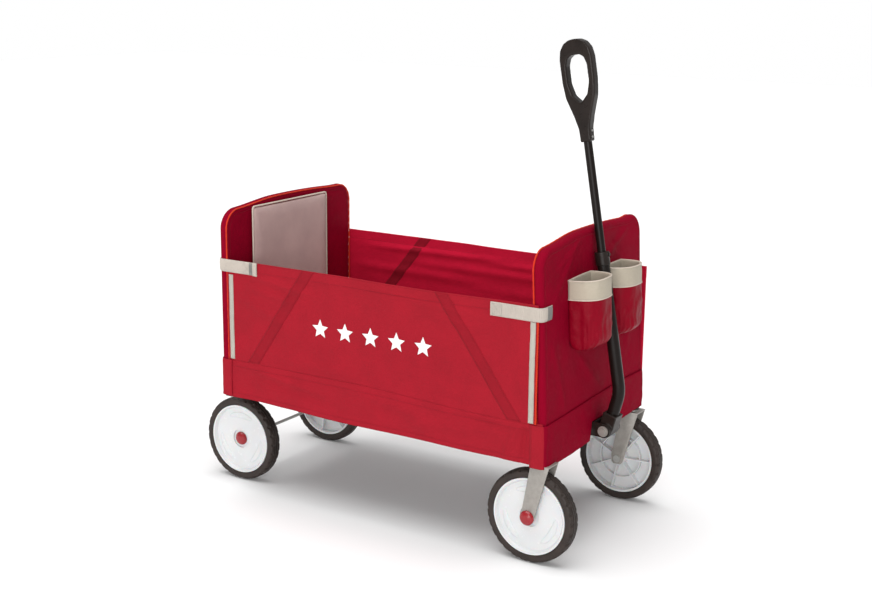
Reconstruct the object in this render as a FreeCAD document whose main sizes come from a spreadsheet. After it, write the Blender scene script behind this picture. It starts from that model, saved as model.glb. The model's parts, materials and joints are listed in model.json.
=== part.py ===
import FreeCAD, Part
import math
import os
import Sketcher
from FreeCAD import Placement, Rotation, Vector

# Folding children's pull wagon.  X points forward to the pull handle, Y to the wagon's left, Z up.
# The origin is on the floor, midway between the front and rear wheels' outermost points.

doc = FreeCAD.newDocument("PullWagon")
sheet = doc.addObject("Spreadsheet::Sheet", "Dims")

DRIVING_DIMENSIONS = {
    # wheels and running gear
    "wheel_radius": 108,
    "rim_radius": 88.8,
    "tyre_width": 34.6,
    "half_wheelbase": 434.3,
    "rear_half_track": 182,
    "front_half_track": 231.3,
    "caster_trail": 27,
    "rear_axle_radius": 4,
    "front_axle_radius": 5,
    "cap_radius": 17,
    "fork_steel": 3,
    "fork_inner_half": 20.3,
    "crown_top": 233,
    "stem_radius": 6,
    # fabric tub
    "half_width": 256,
    "fabric": 2.8,
    "skirt_bottom": 238,
    "seam_height": 333.4,
    "side_top": 589.5,
    "rear_top": 724,
    "front_top": 724,
    "end_thickness": 24,
    "end_corner": 50,
    "hoop_bend": 58,
    "end_crown": 7,
    "front_lean": 3,
    "corner_top": 290,
    "rear_plane": -424,
    "pad_half_width": 153,
    "back_pad": 18,
    "frame_tube": 9.5,
    "tube_wall": 1.5,
    # folding floor
    "hinge_height": 300,
    "mid_pin_height": 276,
    "hinge_offset": 50,
    "board": 6,
    "seat_pad": 14.2,
    "pin_radius": 4,
    "pin_play": 0.05,
    # handle
    "pivot_reach": 43,
    "pivot_height": 258,
    "handle_lean": 10.2,
    "foot_lean": 14.8,
    "foot_length": 92.5,
    "lower_length": 312,
    "lower_tube": 14.3,
    "upper_tube": 9.5,
    "upper_showing": 252,
    "upper_overlap": 60,
    "grip_height": 228,
    "grip_half_width": 39.5,
    "grip_thickness": 25,
    # drink pockets and webbing
    "pocket_inner": 26,
    "pocket_outer": 134,
    "pocket_depth": 68,
    "pocket_bottom": 464,
    "pocket_top": 622,
    "pocket_band": 45,
    "webbing": 2.4,
    "strap_height": 31,
}


class Size:
    """A number together with the spreadsheet formula that gives it."""

    def __init__(self, value, text):
        self.value = value
        self.text = text

    def __add__(self, other):
        other = as_size(other)
        return Size(self.value + other.value, f"({self.text} + {other.text})")

    def __sub__(self, other):
        other = as_size(other)
        return Size(self.value - other.value, f"({self.text} - {other.text})")

    def __mul__(self, other):
        other = as_size(other)
        return Size(self.value * other.value, f"({self.text} * {other.text})")

    def __neg__(self):
        return Size(-self.value, f"(0 - {self.text})")

    __radd__ = __add__
    __rmul__ = __mul__

    def __rsub__(self, other):
        return as_size(other) - self


def as_size(thing):
    if isinstance(thing, Size):
        return thing
    return Size(float(thing), f"({float(thing)})")


def in_order(*sizes):
    """The sizes from low to high."""
    return sorted((as_size(size) for size in sizes), key=lambda size: size.value)


class Sizes:
    """Every driving dimension by its alias."""


D = Sizes()
for row, (alias, number) in enumerate(DRIVING_DIMENSIONS.items(), start=1):
    sheet.set(f"A{row}", alias)
    sheet.set(f"B{row}", str(number))
    sheet.setAlias(f"B{row}", alias)
    setattr(D, alias, Size(float(number), f"Dims.{alias}"))
doc.recompute()

SIDES = {"left": 1, "right": -1}
swivel_x = D.half_wheelbase + D.caster_trail
front_plane = swivel_x
rear_hinge_x = D.rear_plane + D.hinge_offset
front_hinge_x = front_plane - D.hinge_offset
mid_hinge_x = (rear_hinge_x + front_hinge_x) * 0.5
half_thickness = D.end_thickness * 0.5
inside_half = D.half_width - D.fabric - 0.6
pivot_x = swivel_x + D.pivot_reach

nodes = {}


def keep(obj, name):
    """Mark an object as the finished sub-part called name."""
    obj.Label = name
    nodes[name] = obj
    return obj


def bind(obj, **sizes):
    for prop, size in sizes.items():
        obj.setExpression(prop, as_size(size).text)
    return obj


def put(obj, x=0, y=0, z=0):
    for axis, size in zip("xyz", (x, y, z)):
        obj.setExpression(f"Placement.Base.{axis}", as_size(size).text)
    return obj


def new(kind, name):
    return doc.addObject(kind, name)


def block(name, xs, ys, zs):
    """A box between two corners, each pair given low to high."""
    xs, ys, zs = [[as_size(end) for end in pair] for pair in (xs, ys, zs)]
    obj = new("Part::Box", name)
    bind(obj, Length=xs[1] - xs[0], Width=ys[1] - ys[0], Height=zs[1] - zs[0])
    return put(obj, xs[0], ys[0], zs[0])


AXIS_TURNS = {
    "z": Rotation(),
    "x": Rotation(Vector(0, 1, 0), 90),
    "y": Rotation(Vector(1, 0, 0), -90),
}


def rod(name, radius, length, start, axis="z"):
    """A cylinder that starts at a point and runs along a positive axis."""
    obj = new("Part::Cylinder", name)
    obj.Placement.Rotation = AXIS_TURNS[axis]
    bind(obj, Radius=radius, Height=length)
    return put(obj, *start)


def fuse(name, parts):
    obj = new("Part::MultiFuse", name)
    obj.Shapes = parts
    return obj


def cut(name, base, tools):
    obj = new("Part::Cut", name)
    obj.Base = base
    obj.Tool = tools[0] if len(tools) == 1 else fuse(name + "_tools", tools)
    return obj


def new_body(name):
    return new("PartDesign::Body", name)


def origin_feature(body, role):
    return next(item for item in body.Origin.OriginFeatures if item.Role == role)


def new_sketch(body, name, role):
    sketch = body.newObject("Sketcher::SketchObject", name)
    sketch.AttachmentSupport = (origin_feature(body, role), [""])
    sketch.MapMode = "FlatFace"
    return sketch


def outline(sketch, corners):
    """A closed outline through corners whose coordinates follow the spreadsheet."""
    corners = [(as_size(u), as_size(v)) for u, v in corners]
    points = [Vector(u.value, v.value, 0) for u, v in corners]
    first = sketch.GeometryCount
    count = len(points)
    for i in range(count):
        sketch.addGeometry(Part.LineSegment(points[i], points[(i + 1) % count]), False)
    for i in range(count):
        sketch.addConstraint(Sketcher.Constraint("Coincident", first + i, 2, first + (i + 1) % count, 1))
    for i, pair in enumerate(corners):
        for direction, size in zip(("DistanceX", "DistanceY"), pair):
            number = sketch.addConstraint(
                Sketcher.Constraint(direction, -1, 1, first + i, 1, size.value))
            sketch.setExpression(f"Constraints[{number}]", size.text)
    return sketch


def circle(sketch, u, v, radius):
    u, v, radius = as_size(u), as_size(v), as_size(radius)
    index = sketch.addGeometry(Part.Circle(Vector(u.value, v.value, 0), Vector(0, 0, 1), radius.value), False)
    for direction, size in zip(("DistanceX", "DistanceY"), (u, v)):
        number = sketch.addConstraint(Sketcher.Constraint(direction, -1, 1, index, 3, size.value))
        sketch.setExpression(f"Constraints[{number}]", size.text)
    number = sketch.addConstraint(Sketcher.Constraint("Radius", index, radius.value))
    sketch.setExpression(f"Constraints[{number}]", radius.text)
    return sketch


def pad(body, name, sketch, length):
    """A pad that stands equally on both sides of its sketch."""
    feature = body.newObject("PartDesign::Pad", name)
    feature.Profile = sketch
    feature.SideType = "Symmetric"
    feature.setExpression("Length", as_size(length).text)
    sketch.Visibility = False
    return feature


def pocket(body, name, sketch, length):
    """A pocket that cuts equally on both sides of its sketch."""
    feature = body.newObject("PartDesign::Pocket", name)
    feature.Profile = sketch
    feature.SideType = "Symmetric"
    feature.setExpression("Length", as_size(length).text)
    return feature


def revolve(body, name, sketch):
    feature = body.newObject("PartDesign::Revolution", name)
    feature.Profile = sketch
    feature.ReferenceAxis = (sketch, ["V_Axis"])
    feature.Angle = 360
    return feature


def turned_body(name, profile):
    """A body turned about the Y axis from a profile of (radius, distance along Y)."""
    body = new_body(name)
    sketch = outline(new_sketch(body, name + "_profile", "XY_Plane"), profile)
    revolve(body, name + "_turned", sketch)
    return body


def face_outward(body, side):
    """Turn a body whose +Y is its outer side so that it faces the wagon's left or right."""
    body.Placement.Rotation = Rotation(Vector(0, 0, 1), 0 if side > 0 else 180)
    return body


def swept_tube(corners, bend, radius, wall):
    """A round tube along straight runs joined by arcs of one bend radius."""
    edges = []
    start = corners[0]
    for before, corner, after in zip(corners, corners[1:], corners[2:]):
        back = (before - corner).normalize()
        ahead = (after - corner).normalize()
        half_turn = (math.pi - back.getAngle(ahead)) / 2
        reach = bend * math.tan(half_turn)
        first = corner + back * reach
        last = corner + ahead * reach
        bisector = (back + ahead).normalize()
        middle = corner + bisector * (bend / math.cos(half_turn) - bend)
        edges.append(Part.LineSegment(start, first).toShape())
        edges.append(Part.Arc(first, middle, last).toShape())
        start = last
    edges.append(Part.LineSegment(start, corners[-1]).toShape())
    path = Part.Wire(edges)
    direction = corners[1] - corners[0]

    def sweep(size):
        section = Part.Wire([Part.makeCircle(size, corners[0], direction)])
        return path.makePipeShell([section], True, False)

    return sweep(radius).cut(sweep(radius - wall))


def shaped(name, shape, placement=Placement()):
    obj = new("Part::Feature", name)
    obj.Shape = shape
    obj.Placement = placement
    return obj


# ---------------------------------------------------------------- wheels

HUB_BOSS = 19
HUB_CENTRE_WELL = 24
HUB_WELL_FLOOR = 7.8
HUB_DISH = 12
HUB_WEB = 5
HUB_RIBS = 7
RIB_THICK = 3
RING_RIB = (52, 55)
LIP = 0.1
TREAD_GROOVE = 1.4


def make_wheel(name, x, y, side, axle_radius):
    """A moulded disc hub with radial ribs on its inner side, and a solid tyre."""
    rim = D.rim_radius
    half = D.tyre_width * 0.5
    bore = axle_radius + D.pin_play
    ring_in, ring_out = RING_RIB
    hub = turned_body(name + "_hub_solid", [
        (bore, half * -1), (HUB_BOSS, half * -1), (HUB_BOSS, HUB_WEB), (ring_in, HUB_WEB), (ring_in, -6),
        (ring_out, -6), (ring_out, HUB_WEB), (rim - 5, HUB_WEB), (rim - 5, half * -1 + 3),
        (rim - LIP, half * -1 + 3), (rim - LIP, half - 1), (rim - 4, half - 1), (rim - 9, 9),
        (HUB_CENTRE_WELL + 6, HUB_DISH), (HUB_CENTRE_WELL, HUB_DISH), (HUB_CENTRE_WELL, HUB_WELL_FLOOR),
        (bore, HUB_WELL_FLOOR)])
    rib_sketch = outline(new_sketch(hub, name + "_rib_outline", "XY_Plane"), [
        (HUB_BOSS - 3, -13), (rim - 3, -8), (rim - 3, 6.5), (HUB_BOSS - 3, 6.5)])
    rib = pad(hub, name + "_rib", rib_sketch, RIB_THICK)
    doc.recompute()
    pattern = hub.newObject("PartDesign::PolarPattern", name + "_ribs")
    pattern.Originals = [rib]
    pattern.Axis = (origin_feature(hub, "Y_Axis"), [""])
    pattern.Angle = 360
    pattern.Occurrences = HUB_RIBS
    hub.Tip = pattern
    groove_floor = D.wheel_radius - TREAD_GROOVE
    tyre = turned_body(name + "_tyre_solid", [
        (rim, -13), (rim + 8, half * -1), (D.wheel_radius - 5, half * -1 + 0.6),
        (D.wheel_radius - 1.2, half * -1 + 5), (D.wheel_radius, -8),
        (D.wheel_radius, -5), (groove_floor, -4.3), (D.wheel_radius, -3.6),
        (D.wheel_radius, -0.7), (groove_floor, 0), (D.wheel_radius, 0.7),
        (D.wheel_radius, 3.6), (groove_floor, 4.3), (D.wheel_radius, 5),
        (D.wheel_radius, 8), (D.wheel_radius - 1.2, half - 5), (D.wheel_radius - 5, half - 0.6),
        (rim + 8, half), (rim, 13)])
    for body, part in ((hub, "hub"), (tyre, "tyre")):
        put(face_outward(body, side), x, y, D.wheel_radius)
        keep(body, f"{name}_{part}")


CAP_TALL = 9.2


def make_cap(name, x, y, side):
    """A domed push-on cap that hides the end of an axle."""
    cap = turned_body(name + "_solid", [
        (0, 0), (D.cap_radius, 0), (D.cap_radius, 3), (D.cap_radius - 3, 6.5),
        (D.cap_radius - 9, CAP_TALL - 0.6), (0, CAP_TALL)])
    put(face_outward(cap, side), x, y, D.wheel_radius)
    return cap


for side_name, side in SIDES.items():
    make_wheel("rear_" + side_name, -D.half_wheelbase, D.rear_half_track * side, side, D.rear_axle_radius)
    make_wheel("front_" + side_name, D.half_wheelbase, D.front_half_track * side, side, D.front_axle_radius)

# The rear axle ends just proud of the hubs' well floors, where the caps are pushed on.
rear_axle_half = D.rear_half_track + HUB_WELL_FLOOR + 0.4
keep(rod("rear_axle_rod", D.rear_axle_radius, rear_axle_half * 2,
         (-D.half_wheelbase, -rear_axle_half, D.wheel_radius), "y"), "rear_axle")
rear_caps = [make_cap(f"rear_{side_name}_cap", -D.half_wheelbase, rear_axle_half * side, side)
             for side_name, side in SIDES.items()]
keep(fuse("rear_cap_pair", rear_caps), "rear_axle_caps")


# ---------------------------------------------------------------- casters

KING_PIN_LONG = 46
KING_PIN_FLANGE = (15, 3)
RIVET_HEAD = (9, 3)


def make_caster(side_name, side):
    """A trailing fork of pressed steel with its king pin, wheel axle and cap."""
    name = f"caster_{side_name}"
    steel = D.fork_steel
    arm_half = D.fork_inner_half + steel
    crown = D.crown_top - D.wheel_radius
    fork = new_body(name + "_fork_solid")
    arm = outline(new_sketch(fork, name + "_arm_outline", "XZ_Plane"), [
        (-14, -9), (-9, -14), (9, -14), (14, -9),
        (D.caster_trail + 23, crown), (D.caster_trail - 22, crown), (-15, 9)])
    pad(fork, name + "_arm", arm, arm_half * 2)
    gap = outline(new_sketch(fork, name + "_gap_outline", "XZ_Plane"), [
        (-80, -80), (120, -80), (120, crown - steel), (-80, crown - steel)])
    pocket(fork, name + "_gap", gap, D.fork_inner_half * 2)
    bore = circle(new_sketch(fork, name + "_bore_outline", "XZ_Plane"), 0, 0, D.front_axle_radius)
    pocket(fork, name + "_bore", bore, 100)
    centre_y = D.front_half_track * side
    keep(put(fork, D.half_wheelbase, centre_y, D.wheel_radius), name + "_fork")

    flange = rod(name + "_flange", *KING_PIN_FLANGE, (swivel_x, centre_y, D.crown_top))
    pin = rod(name + "_pin", D.stem_radius, KING_PIN_LONG, (swivel_x, centre_y, D.crown_top))
    keep(fuse(name + "_stem_solid", [flange, pin]), name + "_stem")

    bolt_half = arm_half + 0.4
    bolt = rod(name + "_bolt", D.front_axle_radius, bolt_half * 2,
               (D.half_wheelbase, centre_y - bolt_half, D.wheel_radius), "y")
    head_y = centre_y - arm_half * side - (RIVET_HEAD[1] if side > 0 else 0)
    head = rod(name + "_head", *RIVET_HEAD, (D.half_wheelbase, head_y, D.wheel_radius), "y")
    keep(fuse(name + "_axle_solid", [bolt, head]), name + "_axle")
    cap = make_cap(name + "_cap", D.half_wheelbase, centre_y + bolt_half * side, side)
    keep(cap, name + "_cap")


for side_name, side in SIDES.items():
    make_caster(side_name, side)


# ---------------------------------------------------------------- end panels

def end_outline(half, height, corner, crown, bottom=0.0):
    """The face of an end panel: straight sides, rounded corners and a slightly crowned top."""
    shoulder = height - crown
    left, right = Vector(0, -half, bottom), Vector(0, half, bottom)
    bend = corner * math.sqrt(0.5)
    edges = [
        Part.LineSegment(left, right).toShape(),
        Part.LineSegment(right, Vector(0, half, shoulder - corner)).toShape(),
        Part.Arc(Vector(0, half, shoulder - corner),
                 Vector(0, half - corner + bend, shoulder - corner + bend),
                 Vector(0, half - corner, shoulder)).toShape(),
        Part.Arc(Vector(0, half - corner, shoulder), Vector(0, 0, height),
                 Vector(0, corner - half, shoulder)).toShape(),
        Part.Arc(Vector(0, corner - half, shoulder),
                 Vector(0, corner - half - bend, shoulder - corner + bend),
                 Vector(0, -half, shoulder - corner)).toShape(),
        Part.LineSegment(Vector(0, -half, shoulder - corner), left).toShape(),
    ]
    return Part.Face(Part.Wire(edges))


def slab(face, thickness):
    face.translate(Vector(-thickness / 2, 0, 0))
    return face.extrude(Vector(thickness, 0, 0))


def round_rim(solid, radius):
    """Round both long edges of a panel, all the way round except along its bottom."""
    rim = [edge for edge in solid.Edges
           if edge.BoundBox.ZMax > 1 and abs(edge.BoundBox.XMax - edge.BoundBox.XMin) < 0.01]
    return solid.makeFillet(radius, rim)


SLEEVE_CLOTH = 1.5
HOOP_SLACK = 0.6
BOARD_THICK = 4
PAD_FOOT, PAD_HEAD_GAP, PAD_EDGE_ROUND = 34, 14, 6


def make_end(name, top, half, placement):
    """Hoop, stiffening board, fabric sleeve and inside pad of one end, +X outward from its mid plane."""
    height = (top - D.corner_top).value
    thick = D.end_thickness.value
    corner, crown = D.end_corner.value, D.end_crown.value
    fabric = SLEEVE_CLOTH
    radius, wall = D.frame_tube.value, D.tube_wall.value
    sleeve = slab(end_outline(half, height, corner, crown), thick)
    sleeve = round_rim(sleeve, thick / 2 - 1)
    hollow = slab(end_outline(half - fabric, height - fabric, corner - fabric, crown, -1), thick - 2 * fabric)
    sleeve = sleeve.cut(round_rim(hollow, thick / 2 - 1 - fabric))
    inset = fabric + HOOP_SLACK + radius
    hoop_half, hoop_top = half - inset, height - crown - inset
    hoop = swept_tube([Vector(0, -hoop_half, 0), Vector(0, -hoop_half, hoop_top),
                       Vector(0, hoop_half, hoop_top), Vector(0, hoop_half, 0)],
                      D.hoop_bend.value, radius, wall)
    board_half = hoop_half - radius - 1
    board = Part.makeBox(BOARD_THICK, 2 * board_half, hoop_top - radius - 7,
                         Vector(-BOARD_THICK / 2, -board_half, 6))
    upper_corners = [edge for edge in board.Edges
                     if edge.BoundBox.XLength > BOARD_THICK - 1 and edge.BoundBox.ZMin > height / 2]
    board = board.makeFillet(D.hoop_bend.value - radius, upper_corners)
    pad_half, pad_face = D.pad_half_width.value, -thick / 2 - D.back_pad.value
    pad_solid = Part.makeBox(D.back_pad.value, 2 * pad_half, height - PAD_HEAD_GAP - PAD_FOOT,
                             Vector(pad_face, -pad_half, PAD_FOOT))
    pad_solid = pad_solid.makeFillet(PAD_EDGE_ROUND, [edge for edge in pad_solid.Edges
                                                      if edge.BoundBox.XMax < pad_face + 0.1])
    keep(shaped(name + "_hoop_tube", hoop, placement), name + "_hoop")
    keep(shaped(name + "_board_sheet", board, placement), name + "_board")
    keep(shaped(name + "_pad_block", pad_solid, placement), name + "_pad")
    return shaped(name + "_sleeve", sleeve, placement)


rear_frame = Placement(Vector(D.rear_plane.value, 0, D.corner_top.value), Rotation(Vector(0, 0, 1), 180))
front_frame = Placement(Vector(front_plane.value, 0, D.corner_top.value),
                        Rotation(Vector(0, 1, 0), -D.front_lean.value))
rear_sleeve = make_end("rear", D.rear_top, D.half_width.value, rear_frame)
front_sleeve = make_end("front", D.front_top, inside_half.value, front_frame)

# The skirt of each end hangs straight down from the sleeve and hides the corner blocks.
rear_outer = D.rear_plane - half_thickness
front_outer = front_plane + half_thickness
rear_skirt = block("rear_skirt", (rear_outer, rear_outer + SLEEVE_CLOTH), (-D.half_width, D.half_width),
                   (D.skirt_bottom, D.corner_top + 0.5))
rear_returns = []
for side in SIDES.values():
    low_y, high_y = in_order((D.half_width - D.fabric) * side, D.half_width * side)
    rear_returns.append(block("rear_skirt_return", (rear_outer, rear_outer + D.end_thickness),
                              (low_y, high_y), (D.skirt_bottom, D.corner_top)))
keep(fuse("rear_cover_solid", [rear_sleeve, rear_skirt] + rear_returns), "rear_cover")
front_skirt = block("front_skirt", (front_outer - SLEEVE_CLOTH, front_outer), (-inside_half, inside_half),
                    (D.skirt_bottom, D.corner_top + 1.6))
NOTCH_HALF = 33
front_notch = block("front_notch", (front_outer - 10, front_outer + 5), (-NOTCH_HALF, NOTCH_HALF),
                    (D.skirt_bottom - 5, D.pivot_height + 19))
front_flat = cut("front_skirt_notched", front_skirt, [front_notch])
keep(fuse("front_cover_solid", [front_sleeve, front_flat]), "front_cover")


CORNER_BLOCK = 16
CORNER_BLOCK_DEEP = 10.2
CROSS_TUBE, CROSS_TUBE_WALL, CROSS_TUBE_DROP = 10, 1.5, 24


def corner_blocks(name, plane, y, bore):
    """A pair of moulded corner blocks that join the hoop's legs to the cross tube."""
    pair = []
    for side_name, side in SIDES.items():
        low_y, high_y = in_order(y * side - CORNER_BLOCK, y * side + CORNER_BLOCK)
        solid = block(f"{name}_{side_name}_block", (plane - CORNER_BLOCK_DEEP, plane + CORNER_BLOCK_DEEP),
                      (low_y, high_y),
                      (D.skirt_bottom - 1, D.corner_top - 1.2))
        if bore:
            hole = rod(f"{name}_{side_name}_bore", D.stem_radius + D.pin_play, 44,
                       (plane, y * side, D.skirt_bottom - 2))
            solid = cut(f"{name}_{side_name}_bored", solid, [hole])
        pair.append(solid)
    return fuse(name + "_pair", pair)


def cross_tube(name, plane, reach):
    height = D.corner_top - CROSS_TUBE_DROP
    outside = rod(name + "_outside", CROSS_TUBE, reach * 2, (plane, -reach, height), "y")
    inside = rod(name + "_inside", CROSS_TUBE - CROSS_TUBE_WALL, reach * 2 + 2,
                 (plane, -reach - 1, height), "y")
    return cut(name + "_wall", outside, [inside])


block_y = D.front_half_track
keep(corner_blocks("caster_socket", front_plane, block_y, True), "caster_sockets")
keep(corner_blocks("rear_corner", D.rear_plane, block_y, False), "rear_corner_blocks")
tube_reach = block_y - CORNER_BLOCK
keep(cross_tube("front_cross", front_plane - 0.2, tube_reach), "front_cross_tube")
keep(cross_tube("rear_cross", D.rear_plane, tube_reach), "rear_cross_tube")

# Two stamped legs hang from the rear cross tube and carry the fixed axle.
LEG_INSET = 24
LEG_STEEL = 4
LEG_TOP = D.corner_top - D.wheel_radius - 37
legs = []
for side_name, side in SIDES.items():
    leg = new_body(f"rear_leg_{side_name}_solid")
    foot_x = D.rear_plane + D.half_wheelbase
    leg_outline = outline(new_sketch(leg, f"rear_leg_{side_name}_outline", "XZ_Plane"), [
        (-12, -13), (12, -13), (16, -4), (foot_x + 17, LEG_TOP), (foot_x - 8, LEG_TOP), (-16, -4)])
    pad(leg, f"rear_leg_{side_name}_plate", leg_outline, LEG_STEEL)
    leg_bore = circle(new_sketch(leg, f"rear_leg_{side_name}_bore", "XZ_Plane"), 0, 0, D.rear_axle_radius)
    pocket(leg, f"rear_leg_{side_name}_hole", leg_bore, 20)
    put(leg, -D.half_wheelbase, (D.rear_half_track - LEG_INSET) * side, D.wheel_radius)
    legs.append(leg)
keep(fuse("rear_leg_pair", legs), "rear_axle_legs")


# ---------------------------------------------------------------- folding floor

EAR_Y = 214
EAR_THICK = 4
EYE_RADIUS = 9
FLOOR_RAIL_Y = 205
BAR_PLACES = (60, 130, 200, 270, 340)
BAR_HALF = 8
PANEL_HALF, SEAT_PAD_HALF = 244, 241


def floor_bracket(name, face_x, hinge_x, toward):
    """Two riveted brackets on an end panel with the pins that the floor turns on."""
    parts = []
    for side_name, side in SIDES.items():
        centre = EAR_Y * side
        label = f"{name}_{side_name}"
        ends = in_order(face_x, face_x + toward * 3.5)
        heights = (D.hinge_height - EYE_RADIUS, D.hinge_height + EYE_RADIUS)
        foot = block(label + "_foot", ends, (centre - 11, centre + 11), heights)
        ends = in_order(face_x + toward * 3, hinge_x)
        arm = block(label + "_arm", ends, (centre - EAR_THICK / 2, centre + EAR_THICK / 2), heights)
        eye = rod(label + "_eye", EYE_RADIUS, EAR_THICK, (hinge_x, centre - 2, D.hinge_height), "y")
        pin = rod(label + "_pin", D.pin_radius, 16,
                  (hinge_x, centre - 14 if side > 0 else centre - 2, D.hinge_height), "y")
        head = rod(label + "_pin_head", 7, 2,
                   (hinge_x, centre - 14 if side > 0 else centre + 12, D.hinge_height), "y")
        parts += [foot, arm, eye, pin, head]
    return fuse(name + "_solid", parts)


def floor_half(name, hinge_x, toward, mid_ear_y):
    """Rails, cross bars and hinge ears of one floor half, from its end hinge to the middle hinge."""
    rail_z = D.hinge_height - D.board - D.frame_tube - 0.3
    rail_y = FLOOR_RAIL_Y
    parts = []

    def span(first, last):
        ends = (hinge_x + toward * first, hinge_x + toward * last)
        return in_order(*ends)

    half_span = (front_hinge_x - rear_hinge_x) * 0.5
    rail_last = half_span - 18
    for side_name, side in SIDES.items():
        label = f"{name}_{side_name}"
        low, high = span(20, rail_last)
        outside = rod(label + "_rail_out", D.frame_tube, high - low, (low, rail_y * side, rail_z), "x")
        inside = rod(label + "_rail_in", D.frame_tube - D.tube_wall, high - low + 2,
                     (low - 1, rail_y * side, rail_z), "x")
        parts.append(cut(label + "_rail", outside, [inside]))
        ear_y = (EAR_Y - 6.5) * side
        ear = block(label + "_ear", span(0, 60), (ear_y - 2, ear_y + 2), (rail_z - 3, D.hinge_height - 6.3))
        eye = rod(label + "_ear_eye", EYE_RADIUS, EAR_THICK, (hinge_x, ear_y - 2, D.hinge_height), "y")
        bore = rod(label + "_ear_bore", D.pin_radius + D.pin_play, 8,
                   (hinge_x, ear_y - 4, D.hinge_height), "y")
        parts.append(cut(label + "_end_ear", fuse(label + "_ear_raw", [ear, eye]), [bore]))
        mid_y = mid_ear_y * side
        mid_x = mid_hinge_x
        arm = block(label + "_mid_arm", span(half_span - 60, half_span), (mid_y - 2, mid_y + 2),
                    (D.mid_pin_height + 0.4, rail_z + 4))
        mid_eye = rod(label + "_mid_eye", 8, EAR_THICK, (mid_x, mid_y - 2, D.mid_pin_height), "y")
        mid_bore = rod(label + "_mid_bore", D.pin_radius + D.pin_play, 8,
                       (mid_x, mid_y - 4, D.mid_pin_height), "y")
        parts.append(cut(label + "_mid_ear", fuse(label + "_mid_raw", [arm, mid_eye]), [mid_bore]))
    for number, place in enumerate(BAR_PLACES):
        low, high = span(place - BAR_HALF, place + BAR_HALF)
        parts.append(block(f"{name}_bar_{number}", (low, high), (-rail_y + 6, rail_y - 6),
                           (rail_z - 3, rail_z + 8)))
    frame = fuse(name + "_frame_solid", parts)
    low, high = span(14, half_span - 1)
    board = block(name + "_board_sheet", (low, high), (-PANEL_HALF, PANEL_HALF),
                  (D.hinge_height - D.board, D.hinge_height))
    low, high = span(12, half_span - 1.5)
    pad_box = block(name + "_seat_block", (low, high), (-SEAT_PAD_HALF, SEAT_PAD_HALF),
                    (D.hinge_height, D.hinge_height + D.seat_pad))
    return frame, board, pad_box


rear_inner = D.rear_plane + half_thickness
front_inner = front_plane - half_thickness - 1.2
keep(floor_bracket("rear_floor_brackets", rear_inner, rear_hinge_x, 1), "rear_floor_brackets")
keep(floor_bracket("front_floor_brackets", front_inner, front_hinge_x, -1), "front_floor_brackets")
for half_name, hinge_x, toward, mid_ear_y in (
        ("rear_floor", rear_hinge_x, 1, 197), ("front_floor", front_hinge_x, -1, 191)):
    frame, board, pad_box = floor_half(half_name, hinge_x, toward, mid_ear_y)
    keep(frame, half_name + "_frame")
    keep(board, half_name + "_panel")
    keep(pad_box, half_name + "_seat_pad")

MID_PIN_LONG = 18
mid_pins = [rod(f"mid_pin_{side_name}", D.pin_radius, MID_PIN_LONG,
                (mid_hinge_x, 186 if side > 0 else -186 - MID_PIN_LONG, D.mid_pin_height), "y")
            for side_name, side in SIDES.items()]
keep(fuse("mid_pin_pair", mid_pins), "floor_mid_pins")
strap_z = D.hinge_height + D.seat_pad
PULL_STRAP_LONG, PULL_STRAP_HALF = 150, 19
strap_x = mid_hinge_x + 6
keep(block("pull_strap_sheet", (strap_x, strap_x + PULL_STRAP_LONG), (-PULL_STRAP_HALF, PULL_STRAP_HALF),
           (strap_z, strap_z + D.webbing)), "floor_pull_strap")


# ---------------------------------------------------------------- fabric sides

side_outer, side_inner = D.half_width, D.half_width - D.fabric
skirt_top = D.seam_height - 0.4
side_front = front_outer - 3
flap_low, flap_high = D.seam_height + 1, D.side_top
flap_rear = rear_outer + D.end_thickness + 0.6
flap_front = front_plane - 12
keep(block("left_side_sheet", (rear_inner + 0.1, side_front), (side_inner, side_outer),
           (D.seam_height, D.side_top)), "left_side_panel")
for side_name, side in SIDES.items():
    low_y, high_y = in_order(side_inner * side, side_outer * side)
    keep(block(f"{side_name}_skirt_sheet", (rear_inner + 0.1, side_front), (low_y, high_y),
               (D.skirt_bottom, skirt_top)), f"{side_name}_skirt")
keep(block("flap_sheet", (flap_rear, flap_front), (-side_outer, -side_inner), (flap_low, flap_high)),
     "side_flap_panel")
ZIP_WIDE, ZIP_THICK = 13, 1.1
zip_pair = [block(f"zip_{number}", (start, start + ZIP_WIDE), (-side_outer - ZIP_THICK, -side_outer),
                  (flap_low + 6, D.side_top - 36))
            for number, start in enumerate((flap_rear, flap_front - ZIP_WIDE))]
keep(fuse("zip_strip_pair", zip_pair), "side_flap_zips")

# Each webbing strap crosses an upper corner of the flap and wraps onto the end panel's face.
STRAP_GAP = 0.3
REAR_TAIL, FRONT_TAIL, STRAP_WRAP = 120, 140, 44
strap_in = -side_outer - STRAP_GAP
strap_out = strap_in - D.webbing
straps = []
front_wrap = front_outer - 13.8
for place, tail, wrap, base in (
        ("rear", rear_outer + REAR_TAIL, rear_outer - 0.4 - D.webbing, D.side_top - 30),
        ("front", front_outer - FRONT_TAIL, front_wrap, D.side_top - 35)):
    low_x, high_x = in_order(tail, wrap + (D.webbing if place == "front" else 0))
    run = block(f"{place}_strap_run", (low_x, high_x), (strap_out, strap_in), (base, base + D.strap_height))
    leg = block(f"{place}_strap_leg", (wrap, wrap + D.webbing), (strap_out, strap_out + STRAP_WRAP),
                (base, base + D.strap_height))
    straps.append(fuse(f"{place}_strap", [run, leg]))
keep(fuse("strap_pair", straps), "side_flap_straps")


# ---------------------------------------------------------------- drink pockets

POCKET_CLOTH = 2.0
POCKET_ROUND = 22
BAND_PROUD = 1.4


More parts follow.
